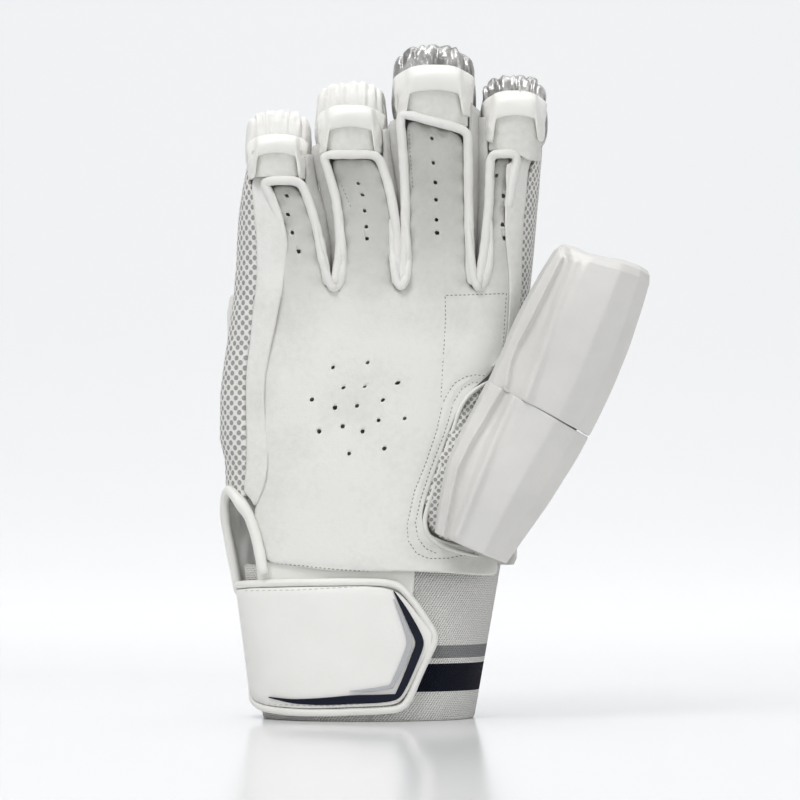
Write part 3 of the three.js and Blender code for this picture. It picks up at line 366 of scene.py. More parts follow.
    def knit(self, place: Socket) -> None:
        """Elastic weave with its coloured bands, on the piece's own map of length and height.

        Args:
            place: Socket of the coordinates.
        """
        own = self.node("ShaderNodeUVMap", uv_map="weave").outputs["UV"]
        rows = self.node("ShaderNodeTexWave", bands_direction="X", Scale=360.0, Distortion=1.2)
        self.link(self.turned(own, 32.0), rows.inputs["Vector"])
        stitches = self.node("ShaderNodeTexWave", bands_direction="Y", Scale=420.0, Distortion=2.0)
        self.link(own, stitches.inputs["Vector"])
        speckle = self.noise(own, 1500.0, 2.0)
        weave = self.add(rows.outputs["Fac"], stitches.outputs["Fac"], 0.6)
        bands = self.node("ShaderNodeValToRGB")
        stops = bands.color_ramp
        stops.interpolation = "CONSTANT"
        (_, lowest), (height, second), *higher = BANDS
        stops.elements[0].color = (*(lowest or self.finish.light), 1.0)
        stops.elements[1].position = height / BAND_TOP
        stops.elements[1].color = (*(second or self.finish.light), 1.0)
        for height, value in higher:
            stops.elements.new(height / BAND_TOP).color = (*(value or self.finish.light), 1.0)
        self.link(self.ramp(self.parts(own)["Y"], 0.0, BAND_TOP), bands.inputs["Fac"])
        # Painted shade between the knitted loops, with random speckle, multiplied onto the bands.
        loop_shade_and_speckle = self.ramp(self.add(weave, speckle, 1.3), 0.6, 1.75)
        shade = self.mix(loop_shade_and_speckle, self.finish.dark, (1.0, 1.0, 1.0))
        self.link(self.mix(1.0, bands.outputs["Color"], shade, "MULTIPLY"), self.shader.inputs["Base Color"])
        self.relief(weave, 0.0008)

    def ribbon(self, place: Socket) -> None:
        """Close woven ribbon.

        Args:
            place: Socket of the coordinates.
        """
        threads = self.noise(place, 1800.0, 2.0)
        self.colour(threads)
        self.relief(threads, 0.0003)

    def thread(self, place: Socket) -> None:
        """Twisted sewing thread.

        Args:
            place: Socket of the coordinates.
        """
        twist = self.noise(place, 2600.0, 1.0)
        self.colour(twist)
        self.relief(twist, 0.0002)


PALM_LEATHER = Finish("white_leather", (0.80, 0.795, 0.765), (0.70, 0.69, 0.66), 0.6, Grain.LEATHER, 0.35)
FRONT_LEATHER = Finish(
    "palm_front_leather", (0.79, 0.79, 0.755), (0.70, 0.695, 0.665), 0.58, Grain.PALM, 0.35
)
PATCH_LEATHER = Finish("tip_leather", (0.74, 0.74, 0.70), (0.62, 0.62, 0.585), 0.6, Grain.LEATHER, 0.45)
TRIM = Finish("coated_trim", (0.87, 0.865, 0.825), (0.80, 0.79, 0.755), 0.42, Grain.COATED, 0.2)
TRIM_ROLL = Finish("rolled_leather", (0.82, 0.815, 0.785), (0.74, 0.73, 0.70), 0.5, Grain.COATED)
STRAP = Finish("strap_leather", (0.88, 0.87, 0.845), (0.84, 0.83, 0.80), 0.45, Grain.COATED, 0.25)
SHELL = Finish("coated_shell", (0.72, 0.705, 0.68), (0.65, 0.64, 0.62), 0.33, Grain.COATED)
PADDING = Finish("padding_cover", (0.86, 0.855, 0.83), (0.79, 0.78, 0.755), 0.5, Grain.COATED)
# Its dark colour is painted shade in the folds and its light colour a painted highlight on the crests.
SILVER = Finish(
    "crushed_silver", (0.66, 0.65, 0.635), (0.26, 0.258, 0.253), 0.3, Grain.CRINKLED, 1.0, metal=0.6
)
LEFT_SIDE = Finish("pierced_left", *PIERCED, 0.7, turn=45.0, pitch=0.0029)
RIGHT_SIDE = Finish("pierced_right", *PIERCED, 0.7, turn=-45.0)
WEB = Finish("pierced_web", *PIERCED, 0.8, pitch=0.0021)
PLAIN_SIDE = Finish("side_leather", (0.62, 0.615, 0.595), (0.50, 0.49, 0.475), 0.66, Grain.LEATHER, 0.35)
# Its dark colour is painted shade between the knitted loops.
KNIT = Finish("cuff_weave", (0.9, 0.89, 0.86), (0.36, 0.36, 0.36), 0.9, Grain.KNIT, 0.6, 0.05, shine=0.15)
NAVY = Finish("dark_ribbon", (0.007, 0.010, 0.024), (0.004, 0.006, 0.015), 0.5, Grain.RIBBON, 0.2, shine=0.2)
GREY_RIBBON = Finish("silver_ribbon", (0.5, 0.51, 0.53), (0.4, 0.41, 0.43), 0.38, Grain.RIBBON, 0.2)
PALE_THREAD = Finish("pale_thread", (0.7, 0.69, 0.66), (0.55, 0.545, 0.52), 0.7, Grain.THREAD)
# The real thread is white; this mid-grey colour is painted shade in the indentations that the stitches sit
# in.
THREAD = Finish("sewing_thread_painted_shade", (0.34, 0.34, 0.335), (0.2, 0.2, 0.2), 0.7, Grain.THREAD)


class Shop:
    """Small bench of mesh steps, each done with Blender's own operators."""

    @staticmethod
    def pick(piece: bpy.types.Object) -> None:
        """Selects one piece alone and makes it active.

        Args:
            piece: The piece.
        """
        bpy.ops.object.select_all(action="DESELECT")
        piece.hide_set(False)
        piece.select_set(True)
        bpy.context.view_layer.objects.active = piece

    @staticmethod
    def copy_of(node: str, name: str) -> bpy.types.Object:
        """A free copy of a CAD node, its doubles merged and its quads restored.

        Args:
            node: The CAD node.
            name: Name of the new piece.

        Returns:
            The new piece, at the origin.
        """
        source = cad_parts[node]
        piece = source.copy()
        piece.data = source.data.copy()
        piece.name = name
        piece.data.name = name
        piece.parent = None
        piece.matrix_world.identity()
        bpy.context.scene.collection.objects.link(piece)
        Shop.pick(piece)
        bpy.ops.object.mode_set(mode="EDIT")
        bpy.ops.mesh.select_all(action="SELECT")
        bpy.ops.mesh.remove_doubles(threshold=2e-6)
        bpy.ops.mesh.tris_convert_to_quads(face_threshold=math.radians(50), shape_threshold=math.radians(50))
        bpy.ops.object.mode_set(mode="OBJECT")
        return piece

    @staticmethod
    def crease(piece: bpy.types.Object, degrees: float, amount: float, shortest: float = 0.0) -> None:
        """Holds the sharp edges of a piece when it is rounded.

        Args:
            piece: The piece.
            degrees: Edges that bend by more than this are held.
            amount: How much they are held, from 0 to 1.
            shortest: Edges shorter than this, in millimetres, stay free.
        """
        Shop.pick(piece)
        bpy.ops.object.mode_set(mode="EDIT")
        bpy.ops.mesh.select_mode(type="EDGE")
        bpy.ops.mesh.select_all(action="DESELECT")
        bpy.ops.mesh.edges_select_sharp(sharpness=math.radians(degrees))
        shape = bmesh.from_edit_mesh(piece.data)
        for edge in shape.edges:
            if edge.select and edge.calc_length() < shortest * MM:
                edge.select_set(False)
        bmesh.update_edit_mesh(piece.data)
        bpy.ops.transform.edge_crease(value=amount)
        bpy.ops.object.mode_set(mode="OBJECT")

    @staticmethod
    def round_off(piece: bpy.types.Object, levels: int) -> None:
        """Rounds a piece by a subdivision surface and applies it.

        Args:
            piece: The piece.
            levels: How often each face is divided.
        """
        Shop.pick(piece)
        rounding = piece.modifiers.new("rounding", "SUBSURF")
        rounding.levels = levels
        rounding.render_levels = levels
        bpy.ops.object.modifier_apply(modifier=rounding.name)
        bpy.ops.object.shade_smooth()

    @staticmethod
    def move_points(piece: bpy.types.Object, change: Callable[[Points, Points], Points]) -> None:
        """Moves a piece's points by a function of places and normals.

        Args:
            piece: The piece.
            change: Takes places and normals in millimetres and gives the new places.
        """
        count = len(piece.data.vertices)
        places = np.empty(count * 3)
        normals = np.empty(count * 3)
        piece.data.vertices.foreach_get("co", places)
        piece.data.vertices.foreach_get("normal", normals)
        moved = change(places.reshape(-1, 3) / MM, normals.reshape(-1, 3))
        piece.data.vertices.foreach_set("co", (moved * MM).ravel())
        piece.data.update()

    @staticmethod
    def settle(piece: bpy.types.Object, finish: Finish, slot: str, *nodes: str) -> None:
        """Gives a piece its finish and its place in the frame.

        Args:
            piece: The finished piece.
            finish: Its finish.
            slot: Not used.
            nodes: CAD nodes that it stands for.
        """
        piece.data.materials.clear()
        piece.data.materials.append(finish.material())
        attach(piece, "root")
        if nodes:
            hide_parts(*nodes)
        log.info("%s: %d faces", piece.name, len(piece.data.polygons))


def cad_points(*nodes: str) -> Points:
    """Points of CAD nodes in millimetres."""
    return np.array([tuple(v.co / MM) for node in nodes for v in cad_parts[node].data.vertices])


def surface_of(names: Sequence[str]) -> BVHTree:
    """The surface of some pieces, for laying lines on.

    Args:
        names: Names of the pieces.

    Returns:
        One tree of all their faces, in metres.
    """
    points: List[Vector] = []
    faces: List[Tuple[int, ...]] = []
    for name in names:
        mesh = bpy.data.objects[name].data
        faces += [tuple(index + len(points) for index in face.vertices) for face in mesh.polygons]
        points += [vertex.co.copy() for vertex in mesh.vertices]
    return BVHTree.FromPolygons(points, faces)


def seen_at(surface: BVHTree, x: float, z: float) -> Tuple[Vector, Vector]:
    """Point and normal of a surface as the front view sees it, or None for each."""
    return surface.ray_cast(Vector((x, IN_FRONT, z)) * MM, Vector((0, 1, 0)))[:2]


def bell(distance: Points, width: float) -> Points:
    """Soft peak of 1 where a distance is 0."""
    return np.exp(-((distance / width) ** 2))


def ripple(places: Points, scale: float, seed: float) -> Points:
    """Smooth noise at each place.

    Args:
        places: Points in millimetres.
        scale: Millimetres between crests.
        seed: Shifts the noise.

    Returns:
        One value from about -1 to 1 for each point.
    """
    return np.array([noise.noise(Vector(p) / scale + Vector((seed, 0.0, 0.0))) for p in places])


def smooth_step(values: Points, start: float, end: float) -> Points:
    """Soft rise from 0 at start to 1 at end."""
    share = np.clip((values - start) / (end - start), 0.0, 1.0)
    return share * share * (3.0 - 2.0 * share)


def line_distance(places: Points, line: Points) -> Points:
    """Distance in the picture plane from each place to a line of points.

    Args:
        places: Points in millimetres.
        line: Corners of the line as x and z in millimetres.

    Returns:
        One distance for each place.
    """
    flat = places[:, (0, 2)]
    nearest = np.full(len(flat), 1e9)
    for start, end in zip(line[:-1], line[1:]):
        way = end - start
        share = np.clip(((flat - start) @ way) / max(way @ way, 1e-9), 0.0, 1.0)
        nearest = np.minimum(nearest, np.linalg.norm(flat - start - share[:, None] * way, axis=1))
    return nearest


def nearest_flat(places: Points, marks: Points) -> Points:
    """Distance in the picture plane from each place to the nearest mark.

    Args:
        places: Points in millimetres.
        marks: Points in millimetres to measure to.

    Returns:
        One distance for each place.
    """
    tree = KDTree(len(marks))
    for index, (x, _, z) in enumerate(marks):
        tree.insert((x, 0.0, z), index)
    tree.balance()
    return np.array([tree.find((x, 0.0, z))[2] for x, _, z in places])


def picture_line(corners: Sequence[Corner]) -> Points:
    """Line given by columns and rows of the front view, as x and z in millimetres."""
    return np.array([(picture_x(column), picture_z(row)) for column, row in corners])


@dataclass
class Dressed:
    """A CAD node carried over with round edges, soft relief and its finish."""

    node: str
    finish: Finish
    slot: str
    levels: int = 2
    held: float = 0.5
    wave: float = 0.2
    pitch: float = 14.0
    sharp: float = 50.0
    fill: float = 0.0
    shortest: float = 0.0

    def build(self) -> bpy.types.Object:
        """Makes the piece.

        Returns:
            The finished piece.
        """
        piece = Shop.copy_of(self.node, f"{self.node}_look")
        self.prepare(piece)
        if self.held:
            Shop.crease(piece, self.sharp, self.held, self.shortest)
        Shop.round_off(piece, self.levels)
        self.stuff(piece)
        Shop.move_points(piece, self.shape)
        Shop.settle(piece, self.finish, self.slot, self.node)
        return piece

    def prepare(self, piece: bpy.types.Object) -> None:
        """Step before the rounding; most pieces need none."""

    def stuff(self, piece: bpy.types.Object) -> None:
        """Step after the rounding; only the pads need one."""

    def shape(self, places: Points, normals: Points) -> Points:
        """Uneven hand-made surface.

        Args:
            places: Points in millimetres.
            normals: Their normals.

        Returns:
            The moved points.
        """
        if not self.wave:
            return places
        return places + normals * (self.wave * ripple(places, self.pitch, self.seed()))[:, None]

    def seed(self) -> float:
        """A number of the piece's own, for its noise."""
        return float(sum(map(ord, self.node)))

    def corners(self) -> Tuple[Points, Points]:
        """Lowest and highest corner of the CAD node's box, in millimetres."""
        low, high = (np.array(corner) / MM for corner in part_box(self.node))
        return low, high


@dataclass
class Pad(Dressed):
    """Stuffed roll of the hand back."""

    finish: Finish = PADDING
    slot: str = "white_padding"
    levels: int = 3
    held: float = 0.2
    wave: float = 0.35
    pitch: float = 9.0
    fill: float = 0.9
    swell: float = 1.2
    voxel: float = 2.2
    pressure: float = 4.0
    moments: int = 20

    def stuff(self, piece: bpy.types.Object) -> None:
        """Swells the pad with a short cloth simulation.

        Args:
            piece: The rounded piece, which keeps its points' places after the swelling.
        """
        Shop.pick(piece)
        remesh = piece.modifiers.new("skin", "REMESH")
        remesh.mode = "VOXEL"
        remesh.voxel_size = self.voxel * MM
        bpy.ops.object.modifier_apply(modifier=remesh.name)
        start = np.array([vertex.co[:] for vertex in piece.data.vertices])
        cover = piece.modifiers.new("cover", "CLOTH")
        cover.settings.quality = 4
        cover.settings.use_pressure = True
        cover.settings.uniform_pressure_force = self.pressure
        cover.settings.effector_weights.gravity = 0.0
        cover.point_cache.frame_start = 1
        cover.point_cache.frame_end = self.moments
        for moment in range(1, self.moments + 1):
            bpy.context.scene.frame_set(moment)
        swollen = piece.evaluated_get(bpy.context.evaluated_depsgraph_get()).data
        end = np.array([vertex.co[:] for vertex in swollen.vertices])
        piece.modifiers.remove(cover)
        bpy.context.scene.frame_set(1)
        move = end - start
        reach = np.linalg.norm(move, axis=1, keepdims=True)
        move *= np.minimum(1.0, self.swell * MM / np.maximum(reach, 1e-9))
        piece.data.vertices.foreach_set("co", (start + move).ravel())
        piece.data.update()
        Shop.round_off(piece, 1)


@dataclass
class VentBinding(Dressed):
    """Round binding of the wrist vent, whose outer leg runs down behind the strap."""

    grow: float = 0.35
    stretch: float = 0.62
    tuck: float = 0.16
    bulge: float = 1.2

    def shape(self, places: Points, normals: Points) -> Points:
        """Draws the outer leg down and in under the strap.

        Args:
            places: Points in millimetres.
            normals: Their normals.

        Returns:
            The moved points.
        """
        moved = super().shape(places + normals * self.grow, normals)
        outer = 1.0 - smooth_step(moved[:, 0], picture_x(238), picture_x(243))
        below = np.maximum(picture_z(525) - moved[:, 2], 0.0) * outer
        moved[:, 2] -= below * self.stretch
        moved[:, 0] += below * self.tuck
        moved[:, 0] += self.bulge * (1.0 - outer) * bell(moved[:, 2] - picture_z(510), 13.0)
        return moved


@dataclass
class Facing(Dressed):
    """Soft lining that shows inside the vent's loop."""

    left: Line = ((229, 495), (227, 520), (232, 560), (241, 590))
    right: Line = ((238, 495), (252, 530), (261, 560), (266, 590))
    fold: float = 1.1

    def shape(self, places: Points, normals: Points) -> Points:
        """Spreads the lining from leg to leg, with folds down its length.

        Args:
            places: Points in millimetres.
            normals: Their normals.

        Returns:
            The moved points.
        """
        low, high = places.min(axis=0), places.max(axis=0)
        share = (places - low) / (high - low)
        one, other = picture_line(self.left)[::-1], picture_line(self.right)[::-1]
        moved = places.copy()
        moved[:, 2] = one[0, 1] + share[:, 2] * (one[-1, 1] - one[0, 1])
        start = np.interp(moved[:, 2], one[:, 1], one[:, 0])
        end = np.interp(moved[:, 2], other[:, 1], other[:, 0])
        moved[:, 0] = start + share[:, 0] * (end - start)
        folds = np.column_stack((moved[:, 0], moved[:, 1] * 0.2, moved[:, 2] * 0.25))
        moved[:, 1] += self.fold * ripple(folds, 3.0, 4.0)
        return moved


@dataclass
class Back(Dressed):
    """Base leather of the hand back, whose foot stands out beside the wrist."""

    flare: float = 5.0

    def shape(self, places: Points, normals: Points) -> Points:
        """Flares the thumb-side foot.

        Args:
            places: Points in millimetres.
            normals: Their normals.

        Returns:
            The moved points.
        """
        moved = super().shape(places, normals)
        moved[:, 0] += self.flare * (bell(moved[:, 2] - 66.0, 9.0) * smooth_step(moved[:, 0], 14.0, 25.0))
        return moved


@dataclass
class Gusset(Dressed):
    """Pierced leather web between the palm and the thumb."""

    grow: float = 1.7
    pucker: float = 0.5

    def shape(self, places: Points, normals: Points) -> Points:
        """Fills the web out beside the palm and puckers its foot.

        Args:
            places: Points in millimetres.
            normals: Their normals.

        Returns:
            The moved points.
        """
        moved = super().shape(places, normals)
        share = bell(nearest_flat(moved, cad_points("palm_leather")), 5.0)
        low = 1.0 - smooth_step(moved[:, 2], 78.0, 100.0)
        puckers = self.pucker * ripple(moved, 2.4, 3.0) * low
        return moved + normals * (share * self.grow + puckers)[:, None]


@dataclass
class Welt(Dressed):
    """Soft rolled edge round a finger front."""

    finish: Finish = TRIM_ROLL
    slot: str = "smooth_trim"
    held: float = 0.2
    wave: float = 0.28
    pitch: float = 3.5
    grow: float = 0.9

    def shape(self, places: Points, normals: Points) -> Points:
        """Fuller roll with small puckers."""
        return super().shape(places + normals * self.grow, normals)


@dataclass
class Side(Dressed):
    """Piece down an outer side of the glove, seen from the side that the palm lies on."""

    way: float = 1.0

    @staticmethod
    def edge_of(places: Points, levels: Points, way: float) -> Points:
        """Foremost point to one side at each level.

        Args:
            places: Points in millimetres.
            levels: Heights in millimetres.
            way: 1 for the side of +X, -1 for the other.

        Returns:
            x and y of the foremost point at each level.
        """
        found = []
        for level in levels:
            near = places[np.abs(places[:, 2] - level) < 5.0]
            found.append(near[np.argmax(way * near[:, 0])][:2] if len(near) else (np.nan, np.nan))
        edge = np.array(found)
        known = ~np.isnan(edge[:, 0])
        for column in (0, 1):
            edge[:, column] = Side.even(np.interp(levels, levels[known], edge[known, column]), 5)
        return edge

    @staticmethod
    def even(values: Points, count: int) -> Points:
        """Running mean of an odd count of values."""
        return np.convolve(np.pad(values, count // 2, mode="edge"), np.full(count, 1 / count), mode="valid")


@dataclass
class Strip(Side):
    """Soft leather roll that laps over the palm's edge."""

    wave: float = 0.35
    pitch: float = 9.0
    lap: float = 1.3
    raised: float = 5.0
    proud: float = 0.9

    def shape(self, places: Points, normals: Points) -> Points:
        """Draws the front edge over the palm's edge at every height.

        Args:
            places: Points in millimetres.
            normals: Their normals.

        Returns:
            The moved points.
        """
        moved = super().shape(places, normals)
        levels = np.arange(60.0, 262.0, 3.0)
        own = self.edge_of(moved, levels, self.way)
        other = self.edge_of(cad_points("palm_leather"), levels, -self.way)
        forward = self.way * (other[:, 0] - own[:, 0]) + self.lap
        reach = np.interp(moved[:, 2], levels, self.even(np.clip(forward, 0.0, 9.0), 7))
        depth = np.interp(moved[:, 2], levels, np.clip(other[:, 1] - own[:, 1] - self.proud, -3.0, 3.0))
        behind = self.way * (np.interp(moved[:, 2], levels, own[:, 0]) - moved[:, 0])
        share = bell(np.maximum(behind, 0.0), 4.5)
        moved[:, 0] += self.way * share * reach
        moved[:, 1] += share * depth
        top = smooth_step(moved[:, 2], moved[:, 2].max() - 12.0, moved[:, 2].max() - 3.0)
        moved[:, 2] += self.raised * top * (0.4 + share)
        moved[:, 1] += 0.8 * top
        return moved


@dataclass
class Mesh(Side):
    """Pierced side of the glove, which bellies out beside the palm."""

    wave: float = 0.3
    pitch: float = 10.0
    belly: Line = ((100, 0.0), (500, 0.0))
    meet: float = 2.0
    trail: float = 0.0

    def shape(self, places: Points, normals: Points) -> Points:
        """Bellies the outer edge out and draws the inner edge to the leather roll.

        Args:
            places: Points in millimetres.
            normals: Their normals.

        Returns:
            The moved points.
        """
        moved = super().shape(places, normals)
        rows = np.array([picture_z(row) for row, _ in self.belly])[::-1]
        amounts = np.array([amount for _, amount in self.belly])[::-1]
        out = np.interp(moved[:, 2], rows, amounts)
        levels = np.arange(moved[:, 2].min(), moved[:, 2].max(), 3.0)
        near = np.interp(moved[:, 2], levels, self.edge_of(moved, levels, self.way)[:, 0])
        far = np.interp(moved[:, 2], levels, self.edge_of(moved, levels, -self.way)[:, 0])
        inner = np.clip((moved[:, 0] - far) / (near - far), 0.0, 1.0)
        moved[:, 0] -= self.way * out * (1.0 - inner) ** 0.8
        moved[:, 0] += self.way * self.meet * inner**2
        moved[:, 2] -= self.trail * (1.0 - smooth_step(moved[:, 2], levels[0], levels[0] + 12.0))
        return moved


@dataclass
class Fourchette(Dressed):
    """Leather walls of two neighbouring fingers, which lean on each other."""

    finish: Finish = PLAIN_SIDE
    slot: str = "side_cloth"
    wave: float = 0.3
    pitch: float = 7.0
    spare: float = -0.7

    def shape(self, places: Points, normals: Points) -> Points:
        """Leans both walls towards the middle of the gap.

        Args:
            places: Points in millimetres.
            normals: Their normals.

        Returns:
            The moved points.
        """
        moved = super().shape(places, normals)
        levels = np.arange(moved[:, 2].min() + 4.5, moved[:, 2].max(), 2.5)
        middles, halves = [], []
        for level in levels:
            across = np.sort(moved[np.abs(moved[:, 2] - level) < 3.0][:, 0])
            if len(across) < 2:
                across = np.array((0.0, 0.0))
            jump = int(np.argmax(np.diff(across)))
            middles.append((across[jump] + across[jump + 1]) / 2)
            halves.append((across[jump + 1] - across[jump]) / 2)
        middle = np.interp(moved[:, 2], levels, middles)
        half = np.interp(moved[:, 2], levels, halves)
        front, back = moved[:, 1].min(), moved[:, 1].max()
        share = smooth_step(moved[:, 1], front + 0.5, front + 7.0)
        share = share * (1.0 - 0.6 * smooth_step(moved[:, 1], back - 6.0, back))
        above = smooth_step(moved[:, 2], levels[0] - 3.0, levels[0] + 2.0)
        moved[:, 0] += np.sign(middle - moved[:, 0]) * np.maximum(half - self.spare, 0.0) * share * above
        return moved


@dataclass
class Palm(Dressed):
    """Palm and finger fronts in one leather, with its hollows, grooves and rolled edges."""

    hollows: Tuple[Tuple[float, ...], ...] = (
        (288, 192, 18, 16, 1.6),
        (262, 222, 8, 26, 1.5),
        (345, 182, 24, 17, 1.7),
        (352, 215, 10, 30, 0.8),
        (432, 130, 26, 22, 1.6),
        (428, 175, 14, 16, -0.7),
        (460, 168, 9, 36, 1.1),
        (500, 168, 12, 26, 1.8),
        (512, 185, 9, 22, 1.0),
        (355, 301, 70, 5, 0.45),
        (440, 310, 26, 12, -0.5),
        (330, 480, 60, 50, -0.8),
        (470, 560, 40, 10, 1.0),
        (300, 568, 70, 6, 0.7),
        (425, 400, 9, 60, -0.5),
    )
    seam_depth: float = 0.35
    seam_width: float = 0.9
    edge_depth: float = 1.8
    edge_width: float = 3.6
    hole_edge: float = 1.5
    hole_spread: float = 1.55

    def prepare(self, piece: bpy.types.Object) -> None:
        """Opens the square vents so that they round off to their true size.

        Args:
            piece: The piece.
        """
        shape = bmesh.new()
        shape.from_mesh(piece.data)
        limit = self.hole_edge * MM
        short = [e for e in shape.edges if e.calc_length() < limit and e.calc_face_angle(0.0) > 0.9]
        rims = {vertex for edge in short for vertex in edge.verts}
        done = set()
        for first in sorted(rims, key=lambda vertex: vertex.index):
            if first in done:
                continue
            ring = {first}
            grown = True
            while grown:
                more = {v for edge in short for v in edge.verts if ring & set(edge.verts)} - ring
                ring |= more
                grown = bool(more)
            done |= ring
            middle = sum((vertex.co for vertex in ring), Vector()) / len(ring)
            for vertex in ring:
                vertex.co.x = middle.x + (vertex.co.x - middle.x) * self.hole_spread
                vertex.co.z = middle.z + (vertex.co.z - middle.z) * self.hole_spread
        shape.to_mesh(piece.data)
        shape.free()

    def shape(self, places: Points, normals: Points) -> Points:
        """Sinks the hollows, the sewn lines and the leather beside each rolled edge.

        Args:
            places: Points in millimetres.
            normals: Their normals.

        Returns:
            The moved points.
        """
        moved = super().shape(places, normals)
        inward = np.zeros(len(moved))
        for column, row, wide, high, deep in self.hollows:
            across = (moved[:, 0] - picture_x(column)) / (wide * PIXEL)
            along = (moved[:, 2] - picture_z(row)) / (high * PIXEL)
            inward += deep * np.exp(-(across**2 + along**2))
        for line in PALM_SEAMS:
            inward += self.seam_depth * bell(line_distance(moved, picture_line(line)), self.seam_width)
        edges = cad_points(*(f"welt_{finger}" for finger in FINGERS))
        inward += self.edge_depth * bell(nearest_flat(moved, edges), self.edge_width)
        moved[:, 1] += inward
        return moved


@dataclass
class Hood(Dressed):
    """White cover wrapped over a fingertip, its sides drawn down beside the patch."""

    finish: Finish = TRIM
    slot: str = "smooth_trim"
    levels: int = 3
    held: float = 0.3
    wave: float = 0.3
    pitch: float = 9.0
    drop: float = 9.0
    wing: float = 0.58
    crumple: float = 0.7

    def shape(self, places: Points, normals: Points) -> Points:
        """Draws the lower rim down at both sides and tucks it in.

        Args:
            places: Points in millimetres.
            normals: Their normals.

        Returns:
            The moved points.
        """
        low, high = self.corners()
        middle = (low + high) / 2
        half = (high - low) / 2
        across = (places[:, 0] - middle[0]) / half[0]
        side = smooth_step(np.abs(across), self.wing, self.wing + 0.13)
        near_rim = 1.0 - smooth_step(places[:, 2], low[2], low[2] + 12.0)
        front = 1.0 - smooth_step(places[:, 1], middle[1] - 2.0, middle[1] + 8.0)
        arch = np.minimum(np.abs(across) / self.wing, 1.0) ** 2
        moved = places.copy()
        moved[:, 2] -= near_rim * front * (side * self.drop + arch * 1.4)
        moved[:, 0] -= across * near_rim * 1.2
        moved[:, 1] += near_rim * front * 0.8
        folds = ripple(moved, 3.4, float(len(self.node))) * side * near_rim * self.crumple
        moved += normals * folds[:, None]
        return super().shape(moved, normals)


@dataclass
class Patch(Dressed):
    """Leather band under a fingertip, whose lower edge hangs down at one end."""

    finish: Finish = PATCH_LEATHER
    slot: str = "patch_leather"
    levels: int = 3
    wave: float = 0.35
    pitch: float = 6.0
    hem: float = 0.0

    def shape(self, places: Points, normals: Points) -> Points:
        """Lowers the thumb-side end of the lower edge.

        Args:
            places: Points in millimetres.
            normals: Their normals.

        Returns:
            The moved points.
        """
        low, high = self.corners()
        share = (places[:, 0] - low[0]) / (high[0] - low[0])
        rim = 1.0 - smooth_step(places[:, 2], low[2] + 1.0, low[2] + 8.0)
        moved = places.copy()
        moved[:, 2] -= self.hem * rim * smooth_step(share, 0.3, 0.85)
        return super().shape(moved, normals)


@dataclass
class TipRoll(Dressed):
    """Last roll of a finger, gathered into pleats over the tip."""

    levels: int = 3
    held: float = 0.0
    wave: float = 0.25
    pitch: float = 8.0
    fill: float = 0.8
    pleats: float = 7.0
    tuck: float = 2.0
    rise: float = 1.8

    def shape(self, places: Points, normals: Points) -> Points:
        """Folds the pleats in over the tip.

        Args:
            places: Points in millimetres.
            normals: Their normals.

        Returns:
            The moved points.
        """
        moved = super().shape(places, normals)
        low, high = self.corners()
        share = (moved[:, 0] - low[0]) / (high[0] - low[0])
        seed = self.seed()
        wander = ripple(np.column_stack((share * 9.0, moved[:, 1] * 0.12, moved[:, 2] * 0.05)), 1.0, seed)
        fold = np.abs(np.sin(math.pi * (self.pleats * share + 0.7 * wander))) ** 0.6
        crushed = ripple(moved, 2.6, seed + 5.0)
        near_tip = smooth_step(moved[:, 2], high[2] - 17.0, high[2] - 6.0)
        lift = (fold - 0.75) * self.tuck + crushed * 0.35
        moved += normals * (lift * near_tip)[:, None]
        moved[:, 2] += self.rise * near_tip
        return moved


@dataclass
class ThumbShell(Dressed):
    """Moulded thumb guard with a side band, a long ridge and a softly scalloped end."""

    finish: Finish = SHELL
    slot: str = "smooth_trim"
    levels: int = 4
    held: float = 0.62
    wave: float = 0.25
    pitch: float = 13.0
    sharp: float = 9.0
    edge: Line = ()
    ridge: Line = ()
    ridge_height: float = 2.1
    edge_height: float = 1.3
    sink: float = 2.0
    start: float = 168.0
    pull: float = 0.0
    scallop: float = 0.0
    push: float = 0.0

    def shape(self, places: Points, normals: Points) -> Points:
        """Presses the ridges in and sets both ends along the thumb.

        Args:
            places: Points in millimetres.
            normals: Their normals.

        Returns:
            The moved points.
        """
        moved = super().shape(places, normals)
        way = np.array((0.4, 0.0, 0.915))
        along = moved[:, 2] + 0.45 * (moved[:, 0] - 70.0)
        share = smooth_step(along, self.start, self.start + 34.0)
        rim = smooth_step(along, self.start + 22.0, self.start + 32.0)
        ripples = self.scallop * (1.0 - np.abs(np.sin(math.pi * moved[:, 0] / 8.0))) * rim
        share = share * (1.0 - 0.6 * smooth_step(moved[:, 0], 62.0, 82.0))
        ahead = moved @ way
        reach = smooth_step(ahead, ahead.max() - 16.0, ahead.max() - 3.0) * self.push
        ridge_gap = line_distance(moved, picture_line(self.ridge))
        edge_gap = line_distance(moved, picture_line(self.edge))
        side = smooth_step(self.beside(moved, self.ridge), 0.3, 3.0)
        side = side * smooth_step(-self.beside(moved, self.edge), 0.3, 2.5)
        crest = self.ridge_height * bell(ridge_gap, 2.0) + self.edge_height * bell(edge_gap, 1.3)
        crest = crest - self.sink * side
        front = 1.0 - smooth_step(normals[:, 1], -0.35, 0.1)
        moved[:, 1] -= crest * front
        return moved + way * (reach - share * self.pull - ripples)[:, None]

    @staticmethod
    def beside(places: Points, line: Line) -> Points:
        """Distance in x to the left of a line, less than 0 to its right."""
        corners = picture_line(sorted(line, key=lambda corner: -corner[1]))
        return np.interp(places[:, 2], corners[:, 1], corners[:, 0]) - places[:, 0]


